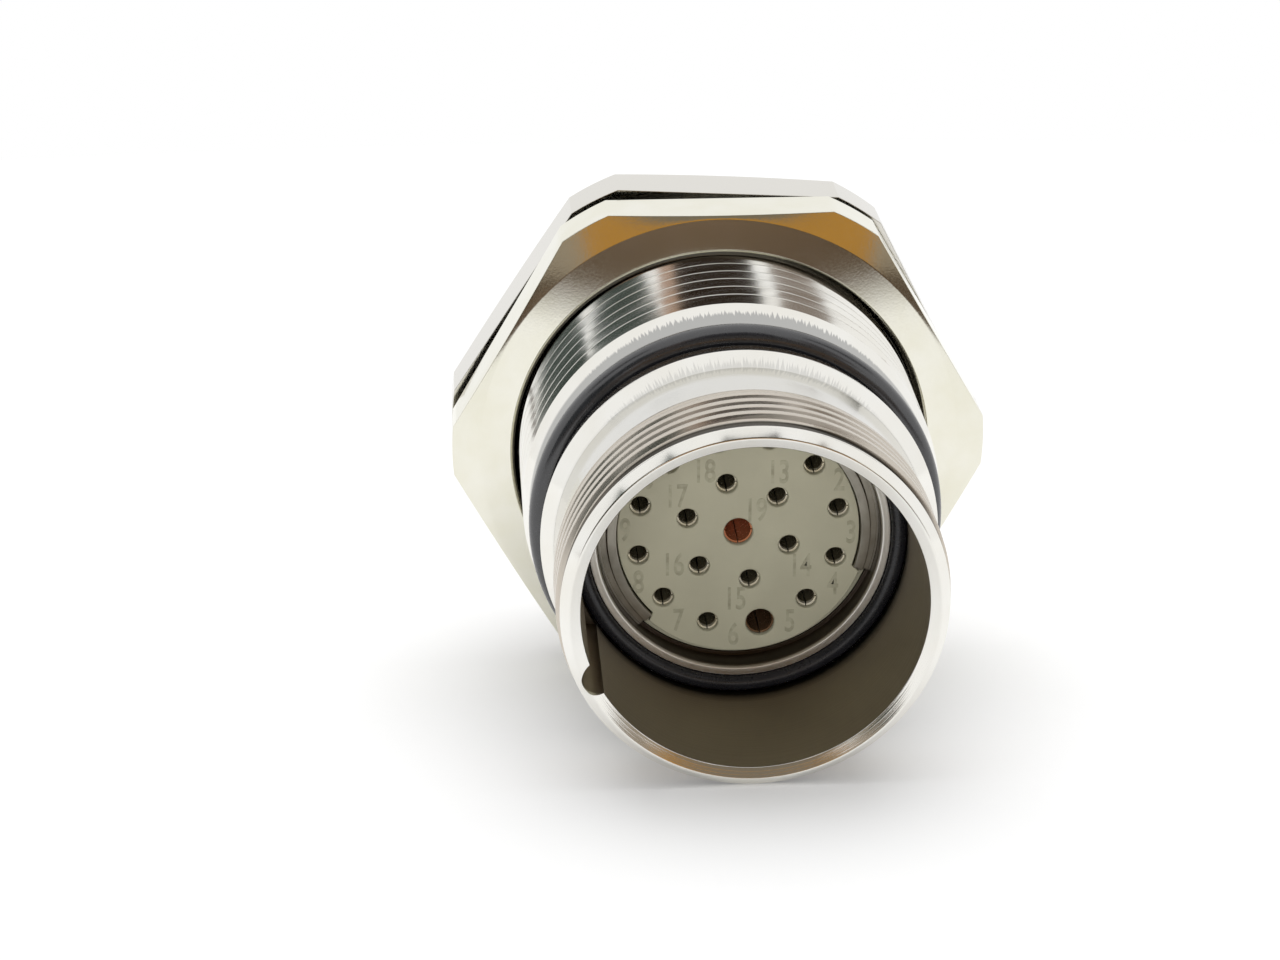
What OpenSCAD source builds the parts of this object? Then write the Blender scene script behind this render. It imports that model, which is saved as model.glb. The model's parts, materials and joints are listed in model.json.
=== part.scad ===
// Circular panel receptacle: a turned and plated shell with a hexagonal flange,
// clamped through a round panel hole by a hexagonal nut. The insert carries
// sixteen small and three large socket contacts with solder cups at the back.
//
// The shell's axis lies along Y and the mating face looks towards -Y.
// Y = 0 is the flange face that the panel clamps against, and +Z is up.
// Turned pieces are drawn with their axis upright and the mating face on top,
// then laid down, so a station s is a distance in front of the flange face.

/* [Contacts] */
// Number of contacts in the outer ring
outer_count = 12; // [8:1:12]
// Number of contacts in the inner ring
inner_count = 6; // [4:1:6]
// Angle of the contact in the key, seen from the front
contact_angle = -77; // [-180:1:180]
// Length of a contact's collar
collar_len = 1; // [0.6:0.1:1.5]
// Length of a contact's solder cup behind the spigot
cup_len = 5; // [3.5:0.1:7]
// Depth of the bore in a solder cup
cup_bore_len = 4; // [3.4:0.1:5]
// Length of the cut that opens a solder cup's side
cup_cut_len = 3; // [2:0.1:3.3]
// Depth of the bore in a contact's socket
socket_len = 5; // [4.5:0.1:6]
// Width of the two slots that make a socket springy
slot_w = 0.25; // [0.15:0.05:0.4]
// Length of those slots
slot_len = 4; // [2.5:0.1:4.4]
// Gap between a contact and the insert
contact_clear = 0.05; // [0.03:0.01:0.1]

/* [Small contact] */
// Hole in the insert's face
small_entry_d = 1.25; // [1.15:0.05:1.4]
// Bore of the socket
small_bore_d = 1.05; // [0.95:0.05:1.15]
// Outside of the socket
small_socket_d = 1.9; // [1.7:0.05:2.1]
// Outside of the collar
small_collar_d = 2.4; // [2.2:0.05:2.7]
// Outside of the solder cup
small_cup_d = 1.7; // [1.6:0.05:1.9]
// Bore of the solder cup
small_cup_bore_d = 1.2; // [1.1:0.05:1.3]

/* [Large contact] */
// Hole in the insert's face
large_entry_d = 1.75; // [1.65:0.05:1.9]
// Bore of the socket
large_bore_d = 1.55; // [1.45:0.05:1.65]
// Outside of the socket
large_socket_d = 2.2; // [2.05:0.05:2.4]
// Outside of the collar
large_collar_d = 2.9; // [2.7:0.05:3.2]
// Outside of the solder cup
large_cup_d = 2; // [1.9:0.05:2.2]
// Bore of the solder cup
large_cup_bore_d = 1.5; // [1.4:0.05:1.6]

/* [Insert] */
// Wall of the insert between the centre contact's collar and the inner ring's
inner_wall = 0.5; // [0.3:0.05:1]
// Wall of the insert between the collars of the two rings
outer_wall = 0.25; // [0.15:0.05:0.6]
// Wall of the insert outside the outer ring's collars
edge_wall = 0.8; // [0.6:0.05:1.5]
// Thickness of the insert's wall in front of the contacts
entry_wall = 0.4; // [0.3:0.05:1]
// Chamfer round a contact hole in the insert's face
hole_chamfer = 0.1; // [0.05:0.05:0.2]
// Length of the front half of the insert
insert_front_len = 7.7; // [7:0.1:10]
// Length of the rear half of the insert in the sleeve
insert_rear_len = 4.5; // [3:0.1:6]
// Length of the rear half's spigot, from the front of the ledge
spigot_len = 5; // [3.5:0.1:7]
// Radial gap between the insert and the shell
insert_clear = 0.05; // [0.03:0.01:0.1]
// Radial gap between the insert's key and the sleeve
key_relief = 0.65; // [0.4:0.05:0.8]

/* [Retaining ring] */
// How far the ring reaches in from the sleeve's bore
ring_w = 1.15; // [0.8:0.05:1.2]
// Width of the ring's inner land
ring_land_w = 0.6; // [0.3:0.05:0.8]
// Thickness of the ring's rim, which sits in the sleeve's groove
ring_t = 1.2; // [0.8:0.1:1.6]
// How far the ring's inner land stands in front of its rim
ring_land_h = 0.35; // [0.2:0.05:0.6]
// Depth of the sleeve's groove for the ring
ring_groove = 0.25; // [0.15:0.05:0.35]
// Opening of the ring, which the insert's key fills
ring_gap_angle = 116; // [90:1:140]
// Gap between the ring and what it fits
ring_clear = 0.05; // [0.03:0.01:0.1]

/* [Sleeve] */
// Wall of the sleeve at its rim
sleeve_wall = 0.6; // [0.5:0.05:0.9]
// Chamfer at the sleeve's rim
sleeve_chamfer = 0.15; // [0.1:0.05:0.25]
// How far the sleeve's rim lies behind the end of the mating bore
sleeve_step = 1; // [0.6:0.1:2]
// How far the insert's face lies behind the sleeve's rim
insert_depth = 0.9; // [0.7:0.1:2]
// Radial width of the ledge that stops the insert
ledge_w = 0.6; // [0.4:0.05:0.8]
// Thickness of the ledge
ledge_t = 2; // [1:0.1:3]

/* [Seals] */
// Section diameter of the face seal inside the mouth
face_seal_d = 1; // [0.8:0.05:1.2]
// How far the face seal stands proud of the sleeve's rim
face_seal_proud = 0.4; // [0.2:0.05:0.5]
// Gap between a seal and the walls of its groove
seal_clear = 0.03; // [0.02:0.01:0.06]
// How far the face seal's groove reaches in behind the mating bore's wall
seal_undercut = 0.16; // [0.05:0.01:0.3]
// Section diameter of the coupling seal
coupling_seal_d = 2.6; // [2:0.1:2.9]
// How far the coupling seal stands proud of the lip
coupling_seal_proud = 0.6; // [0.4:0.05:0.8]
// Extra width of the groove beside the coupling seal
coupling_seal_room = 0.6; // [0.3:0.1:1]
// Thickness of the flat gasket on the flange
gasket_t = 1; // [0.5:0.1:2]
// How far the gasket's edge lies inside the flange's flats
gasket_inset = 0.55; // [0.3:0.05:1.5]

/* [Coupling end] */
// Wall between the mating bore and the coupling thread's crest
coupling_wall = 1.4; // [1.2:0.05:2]
// Length of the coupling thread, up to the edge in front of its relief groove
coupling_len = 5.7; // [4:0.1:7]
// Depth of the relief groove in front of the coupling thread
relief_depth = 0.35; // [0.2:0.05:0.4]
// Width of the relief groove
relief_w = 0.65; // [0.4:0.05:0.9]
// Width of the collar between the relief groove and the rim's chamfer
relief_collar = 0.15; // [0.1:0.05:0.3]
// Depth of the mating bore, from the rim to the seal
mating_depth = 9.9; // [8.4:0.1:14]
// Width of the chamfer inside the rim
rim_inner_w = 0.65; // [0.3:0.05:0.8]
// Length of the chamfer inside the rim
rim_inner_chamfer = 0.3; // [0.2:0.05:0.6]
// Length of the chamfer outside the rim
rim_outer_chamfer = 0.7; // [0.4:0.1:1.2]
// Width of the flat on the rim's front edge
rim_flat = 0.1; // [0.05:0.05:0.2]
// How far the neck lies under the coupling thread's crest
neck_relief = 0.2; // [0.05:0.05:0.5]
// How far the lip in front of the coupling seal stands above that crest
lip_rise = 0.6; // [0.3:0.05:1]
// Length of the sloping face from the neck to the lip
lip_slope = 1.1; // [0.6:0.1:2]
// Length of the lip
lip_len = 1.6; // [1:0.1:3]

/* [Keyway] */
// Width of the half-round keyway in the mating bore
keyway_w = 2; // [1.6:0.1:2.2]
// How far the keyway's centre lies inside the bore's wall
keyway_inset = 0.15; // [0.1:0.05:0.4]
// Angle of the keyway, seen from the front, anticlockwise from the right
keyway_angle = 204; // [0:1:359]

/* [Panel thread and flange] */
// How far the panel thread's crest stands above the lip
panel_rise = 0.9; // [0.7:0.05:2]
// Length of the panel thread, up to the flange
panel_len = 13.6; // [11:0.1:18]
// Pitch of the panel thread
panel_pitch = 1.5; // [1:0.25:2]
// Depth of the panel thread
panel_depth = 0.8; // [0.5:0.05:1]
// Width of the panel thread's crests
panel_crest = 0.2; // [0.1:0.05:0.4]
// Width of the panel thread's roots
panel_root = 0.25; // [0.1:0.05:0.4]
// Radial depth of the thread's lead-in cone
panel_lead = 0.65; // [0.4:0.05:1]
// Length of the lead-in cone
panel_lead_len = 1; // [0.6:0.1:2]
// Width of the two hexagons across their flats
hexagon_af = 31.5; // [30:0.5:36]
// Thickness of the flange
flange_t = 4; // [3:0.1:6]
// Turn of the flange's flats against the nut's, seen from the front
flange_turn = -3; // [-30:1:30]

/* [Panel nut] */
// Thickness of the nut
nut_t = 4; // [3:0.1:6]
// Radial running gap between the nut's bore and the panel thread
nut_clear = 0.05; // [0.03:0.01:0.1]
// Radial width of the countersink at each end of the nut's bore
nut_countersink = 0.5; // [0.2:0.05:0.6]

/* [Hexagon corners] */
// How far the turned corners stand above the flats
corner_rise = 1.55; // [0.8:0.05:2]
// How far the edge of the flat land inside the chamfer lies under the flats
land_inset = 0.25; // [0.1:0.05:0.5]
// Slope of the corner chamfer
corner_slope = 15; // [10:1:35]

/* [Rear barrel] */
// How far the rear barrel lies under the panel thread's crest
rear_step = 0.8; // [0.3:0.05:1.2]
// Wall of the rear barrel
rear_wall = 1.8; // [1.2:0.1:2.5]
// Length of the rear barrel behind the flange
rear_len = 10.6; // [8:0.1:16]
// Chamfer at the rear barrel's end
rear_chamfer = 0.6; // [0.3:0.1:1]

/* [Hidden] */

$fn = 96;
cut = 0.5;
nickel = "#d6d2c8";
bright_nickel = "#dedcd4";
black_rubber = "#17181a";
beige = "#b3ab93";
gold = "#c9a24b";

// Radii of the insert, from the centre contact outward
collar_pair = (large_collar_d + small_collar_d) / 2 + 2 * contact_clear;
inner_ring_r = collar_pair + inner_wall;
outer_ring_r = inner_ring_r + collar_pair + outer_wall;
insert_r = outer_ring_r + large_collar_d / 2 + contact_clear + edge_wall;
sleeve_r = insert_r + insert_clear;
key_r = sleeve_r - key_relief;
ledge_r = sleeve_r - ledge_w;
spigot_r = ledge_r - insert_clear;

// Radii of the retaining ring and the insert's neck inside it
ring_bore_r = sleeve_r - ring_w;
ring_step_r = ring_bore_r + ring_land_w;
ring_r = sleeve_r + ring_groove - ring_clear;
insert_neck_r = ring_bore_r - ring_clear;
ring_end_clear = 1;

// Radii of the shell, from the sleeve outward
seal_groove_in_r = sleeve_r + sleeve_wall;
seal_groove_out_r = seal_groove_in_r + face_seal_d + 2 * seal_clear;
mating_r = seal_groove_out_r - seal_undercut;
rim_r = mating_r + rim_inner_w;
coupling_r = mating_r + coupling_wall;
neck_r = coupling_r - neck_relief;
lip_r = coupling_r + lip_rise;
coupling_seal_in_r = lip_r + coupling_seal_proud - coupling_seal_d;
coupling_floor_r = coupling_seal_in_r - seal_clear;
panel_r = lip_r + panel_rise;
rear_r = panel_r - rear_step;
rear_bore_r = rear_r - rear_wall;

// Radii of the two hexagons
flat_r = hexagon_af / 2;
corner_r = flat_r + corner_rise;
land_r = flat_r - land_inset;
gasket_r = flat_r - gasket_inset;

// Stations of the shell's outside, from the panel thread forward to the rim
lead_front = panel_len + panel_lead_len;
seal_groove_front = lead_front + coupling_seal_d + coupling_seal_room;
lip_front = seal_groove_front + lip_len;
neck_back = lip_front + lip_slope;
bore_end = neck_back;
rim_front = bore_end + mating_depth;
thread_front = rim_front - rim_outer_chamfer;
neck_front = thread_front - coupling_len;
relief_front = thread_front - relief_collar;
relief_back = relief_front - relief_w;

// Stations of the shell's inside, from the mating bore back to the rear barrel
sleeve_front = bore_end - sleeve_step;
seal_floor = sleeve_front + face_seal_proud - face_seal_d;
insert_face = sleeve_front - insert_depth;
ring_back = insert_face - ring_t;
insert_split = insert_face - insert_front_len;
ledge_front = insert_split - insert_rear_len;
ledge_back = ledge_front - ledge_t;
spigot_end = ledge_front - spigot_len;
cup_end = spigot_end - cup_len;
rear_end = -flange_t - rear_len;

// Where the contacts stand: the outer ring first, then the inner ring, then the centre
key_contact = 6;
centre_contact = outer_count + inner_count + 1;
large_contacts = [key_contact, outer_count, centre_contact];

function contact_name(k) = str("contact_", k < 10 ? "0" : "", k);
function is_large(k) = len([for (c = large_contacts) if (c == k) c]) > 0;
function outer_angle(k) = contact_angle - 360 / outer_count * (k - key_contact);
function inner_angle(k) = contact_angle - 360 / inner_count * (k - outer_count - inner_count / 2);
function on_circle(r, angle) = [r * cos(angle), r * sin(angle)];
function contact_place(k) =
    k <= outer_count ? on_circle(outer_ring_r, outer_angle(k)) :
    k < centre_contact ? on_circle(inner_ring_r, inner_angle(k)) : [0, 0];

// A contact's sizes, by kind
function entry_d(k) = is_large(k) ? large_entry_d : small_entry_d;
function bore_d(k) = is_large(k) ? large_bore_d : small_bore_d;
function socket_d(k) = is_large(k) ? large_socket_d : small_socket_d;
function collar_d(k) = is_large(k) ? large_collar_d : small_collar_d;
function cup_d(k) = is_large(k) ? large_cup_d : small_cup_d;
function cup_bore_d(k) = is_large(k) ? large_cup_bore_d : small_cup_bore_d;

socket_front = insert_face - entry_wall - contact_clear;
collar_front = insert_split + collar_len;

// Lays an upright turned piece down, so that its top looks towards -Y
module laid() {
    rotate([90, 0, 0]) children();
}

// A round bar or hole between two stations
module round_between(d, low, high) {
    translate([0, 0, low]) cylinder(d = d, h = high - low);
}

// A six-sided block of a given height whose corners are turned off, with a chamfer on its top
module turned_hexagon(height) {
    chamfer = (corner_r - land_r) * tan(corner_slope);
    intersection() {
        cylinder(r = flat_r / cos(30), h = height, $fn = 6);
        rotate_extrude()
            polygon([[0, 0], [corner_r, 0], [corner_r, height - chamfer],
                     [land_r, height], [0, height]]);
    }
}

// Corners of the grooves between the ridges of the panel thread, from the flange forward
function panel_grooves() = [
    for (k = [0 : floor(panel_len / panel_pitch) - 1], corner = [
        [panel_r, panel_crest / 2],
        [panel_r - panel_depth, (panel_pitch - panel_root) / 2],
        [panel_r - panel_depth, (panel_pitch + panel_root) / 2],
        [panel_r, panel_pitch - panel_crest / 2]
    ]) corner + [0, k * panel_pitch]
];

// The outside of the shell, without its flange
module shell_outside() {
    rotate_extrude()
        polygon(concat([
            [0, rear_end],
            [rear_r - rear_chamfer, rear_end],
            [rear_r, rear_end + rear_chamfer],
            [rear_r, 0],
            [panel_r, 0]
        ], panel_grooves(), [
            [panel_r, panel_len],
            [panel_r - panel_lead, lead_front],
            [coupling_floor_r, lead_front],
            [coupling_floor_r, seal_groove_front],
            [lip_r, seal_groove_front],
            [lip_r, lip_front],
            [neck_r, neck_back],
            [neck_r, neck_front],
            [coupling_r, neck_front],
            [coupling_r, relief_back],
            [coupling_r - relief_depth, relief_back],
            [coupling_r - relief_depth, relief_front],
            [coupling_r, relief_front],
            [coupling_r, thread_front],
            [rim_r + rim_flat / 2, rim_front],
            [0, rim_front]
        ]));
}

// The space inside the shell, from the mouth to the rear barrel
module shell_inside() {
    rotate_extrude()
        polygon([
            [0, rim_front + cut],
            [rim_r - rim_flat / 2, rim_front + cut],
            [rim_r - rim_flat / 2, rim_front],
            [mating_r, rim_front - rim_inner_chamfer],
            [mating_r, bore_end],
            [seal_groove_out_r, bore_end],
            [seal_groove_out_r, seal_floor],
            [seal_groove_in_r, seal_floor],
            [seal_groove_in_r, sleeve_front],
            [sleeve_r + sleeve_chamfer, sleeve_front],
            [sleeve_r, sleeve_front - sleeve_chamfer],
            [sleeve_r, insert_face + ring_clear],
            [sleeve_r + ring_groove, insert_face + ring_clear],
            [sleeve_r + ring_groove, ring_back - ring_clear],
            [sleeve_r, ring_back - ring_clear],
            [sleeve_r, ledge_front],
            [ledge_r, ledge_front],
            [ledge_r, ledge_back],
            [rear_bore_r, ledge_back],
            [rear_bore_r, rear_end - cut],
            [0, rear_end - cut]
        ]);
}

// The half-round keyway along the mating bore
module keyway() {
    centre = on_circle(mating_r - keyway_inset, keyway_angle);
    translate([centre[0], centre[1], 0])
        round_between(keyway_w, bore_end, rim_front + cut);
}

module shell() {
    color(bright_nickel)
    laid()
    difference() {
        union() {
            shell_outside();
            rotate([0, 0, flange_turn]) mirror([0, 0, 1]) turned_hexagon(flange_t);
        }
        shell_inside();
        keyway();
    }
}

module panel_nut() {
    back = gasket_t;
    front = back + nut_t;
    bore_r = panel_r + nut_clear;
    sink_r = bore_r + nut_countersink;
    color(nickel)
    laid()
    difference() {
        translate([0, 0, back]) turned_hexagon(nut_t);
        rotate_extrude()
            polygon([
                [0, back - cut],
                [sink_r, back - cut],
                [sink_r, back],
                [bore_r, back + nut_countersink],
                [bore_r, front - nut_countersink],
                [sink_r, front],
                [sink_r, front + cut],
                [0, front + cut]
            ]);
    }
}

module panel_gasket() {
    color(black_rubber)
    laid()
    difference() {
        round_between(2 * gasket_r, 0, gasket_t);
        round_between(2 * (panel_r + nut_clear), -cut, gasket_t + cut);
    }
}

// A seal ring of round section, by its inner radius and the station of its middle
module seal_ring(section_d, inner_r, middle) {
    translate([0, 0, middle])
        rotate_extrude()
            translate([inner_r + section_d / 2, 0])
                circle(d = section_d, $fn = 48);
}

module coupling_seal() {
    color(black_rubber)
    laid()
        seal_ring(coupling_seal_d, coupling_seal_in_r, (lead_front + seal_groove_front) / 2);
}

module face_seal() {
    color(black_rubber)
    laid()
        seal_ring(face_seal_d, seal_groove_in_r + seal_clear, seal_floor + face_seal_d / 2);
}

// The sector of the insert that fills the retaining ring's opening
module insert_key() {
    span = ring_gap_angle - 2 * ring_end_clear;
    rotate([0, 0, contact_angle - span / 2])
        rotate_extrude(angle = span)
            translate([0, ring_back])
                square([key_r, ring_t]);
}

// The stepped holes that hold the contacts in the front half
module front_contact_hole(k) {
    gap = 2 * contact_clear;
    chamfer = hole_chamfer + cut;
    round_between(entry_d(k), insert_split, insert_face + cut);
    translate([0, 0, insert_face - hole_chamfer])
        cylinder(d1 = entry_d(k), d2 = entry_d(k) + 2 * chamfer, h = chamfer);
    round_between(socket_d(k) + gap, insert_split, insert_face - entry_wall);
    round_between(collar_d(k) + gap, insert_split - cut, collar_front);
}

module insert_front() {
    color(beige)
    laid()
    difference() {
        union() {
            round_between(2 * insert_neck_r, insert_split, insert_face);
            round_between(2 * insert_r, insert_split, ring_back);
            insert_key();
        }
        for (k = [1 : centre_contact]) translate(contact_place(k)) front_contact_hole(k);
    }
}

module insert_rear() {
    gap = 2 * contact_clear;
    color(beige)
    laid()
    difference() {
        union() {
            round_between(2 * insert_r, ledge_front, insert_split);
            round_between(2 * spigot_r, spigot_end, insert_split);
        }
        for (k = [1 : centre_contact])
            translate(contact_place(k))
                round_between(cup_d(k) + gap, spigot_end - cut, insert_split + cut);
    }
}

// The open ring in the sleeve's groove that keeps the insert in
module retaining_ring() {
    color(nickel)
    laid()
    rotate([0, 0, contact_angle + ring_gap_angle / 2])
        rotate_extrude(angle = 360 - ring_gap_angle)
            polygon([
                [ring_bore_r, ring_back],
                [ring_r, ring_back],
                [ring_r, insert_face],
                [ring_step_r, insert_face],
                [ring_step_r, insert_face + ring_land_h],
                [ring_bore_r, insert_face + ring_land_h]
            ]);
}

// A turned socket contact: slotted socket in front, collar, and a solder cup at the back
module contact(k) {
    color(gold)
    laid()
    translate(contact_place(k))
    difference() {
        union() {
            round_between(socket_d(k), insert_split, socket_front);
            round_between(collar_d(k), insert_split, collar_front);
            round_between(cup_d(k), cup_end, insert_split);
        }
        round_between(bore_d(k), socket_front - socket_len, socket_front + cut);
        for (turn = [0, 90]) rotate([0, 0, turn])
            translate([-socket_d(k) / 2 - cut, -slot_w / 2, socket_front - slot_len])
                cube([socket_d(k) + 2 * cut, slot_w, slot_len + cut]);
        round_between(cup_bore_d(k), cup_end - cut, cup_end + cup_bore_len);
        translate([-cup_d(k) / 2, 0, cup_end - cut])
            cube([cup_d(k), cup_d(k), cup_cut_len + cut]);
    }
}

shell();
panel_nut();
panel_gasket();
coupling_seal();
face_seal();
insert_front();
insert_rear();
retaining_ring();
for (k = [1 : centre_contact])
    contact(k);
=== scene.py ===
"""Panel receptacle with nineteen socket contacts, dressed round its packed frame.

The shell's axis lies along Y, with the mouth towards -Y. A station is a distance in front of
the flange face, and an angle turns anticlockwise from the right, seen from the front.
"""
import json
from math import atan2, ceil, copysign, cos, hypot, pi, radians, sin, tan

import bmesh
import bpy
from bpy.props import FloatProperty, FloatVectorProperty, IntProperty, PointerProperty
from mathutils import Matrix, Vector


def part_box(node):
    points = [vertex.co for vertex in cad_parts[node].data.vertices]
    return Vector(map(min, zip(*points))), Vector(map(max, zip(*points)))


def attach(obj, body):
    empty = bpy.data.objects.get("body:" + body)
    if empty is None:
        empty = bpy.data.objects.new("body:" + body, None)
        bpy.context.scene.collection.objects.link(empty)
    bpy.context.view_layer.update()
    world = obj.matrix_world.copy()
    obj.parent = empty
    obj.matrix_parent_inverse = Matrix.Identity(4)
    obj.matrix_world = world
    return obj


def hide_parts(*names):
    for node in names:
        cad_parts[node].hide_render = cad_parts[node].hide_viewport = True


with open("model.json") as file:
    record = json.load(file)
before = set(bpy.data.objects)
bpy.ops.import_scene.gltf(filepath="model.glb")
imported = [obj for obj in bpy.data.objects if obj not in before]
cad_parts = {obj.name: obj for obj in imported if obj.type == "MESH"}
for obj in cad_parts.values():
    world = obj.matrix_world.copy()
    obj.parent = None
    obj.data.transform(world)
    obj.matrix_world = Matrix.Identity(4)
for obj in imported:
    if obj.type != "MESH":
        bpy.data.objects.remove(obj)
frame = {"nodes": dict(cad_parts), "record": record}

bl_info = {
    "name": "Panel receptacle",
    "version": (1, 0, 0),
    "blender": (4, 5, 0),
    "location": "View3D > Sidebar > Receptacle",
    "description": "Builds the looks of a nineteen-way panel receptacle on its packed frame",
    "category": "Object",
}

MM = 0.001
FULL_TURN = 2 * pi
TOP = pi / 2  # the angle of the top
FORWARD = Vector((0, -1, 0))
MERGE_DISTANCE = 0.001 * MM
OVERRUN = 0.5 * MM  # how far a cutting shape reaches past what it cuts
SHARP_ANGLE = radians(50)  # faces that meet more sharply are shaded apart
SOFT_ANGLE = radians(6)  # edges that turn by less stay unbroken
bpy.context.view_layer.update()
MOUNTS = {mount["name"]: mount for mount in frame["record"]["mounts"]}
CONTACTS = sorted(name for name in frame["nodes"] if name.startswith("contact_"))


def back_of(node):
    """Station of a node's rear end."""
    return -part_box(node)[1].y


def front_of(node):
    """Station of a node's front end."""
    return -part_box(node)[0].y


def reach_of(node):
    """Radius that a node on the shell's axis reaches to the right."""
    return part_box(node)[1].x


def mount_radius(name):
    """Radius of a round mount."""
    return MOUNTS[name]["dims"]["r_mm"] * MM


def mount_end(name, side):
    """Station of a round mount's front end, for a side of 1, or rear end, for -1."""
    return -MOUNTS[name]["pos_m"][1] + side * MOUNTS[name]["dims"]["length_mm"] * MM / 2


def length(name, description, default):
    """A size in metres."""
    return FloatProperty(name=name, description=description, default=default,
                         unit="LENGTH", subtype="DISTANCE", precision=5)


def turn_of(name, description, degrees):
    """An angle, given in degrees."""
    return FloatProperty(name=name, description=description, default=radians(degrees),
                         unit="ROTATION", subtype="ANGLE")


def share(name, description, default):
    """A number from nought to one."""
    return FloatProperty(name=name, description=description, default=default,
                         min=0, max=1, subtype="FACTOR")


def tint(name, description, default):
    """A linear colour."""
    return FloatVectorProperty(name=name, description=description, default=default,
                               size=3, min=0, max=1, subtype="COLOR")


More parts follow.
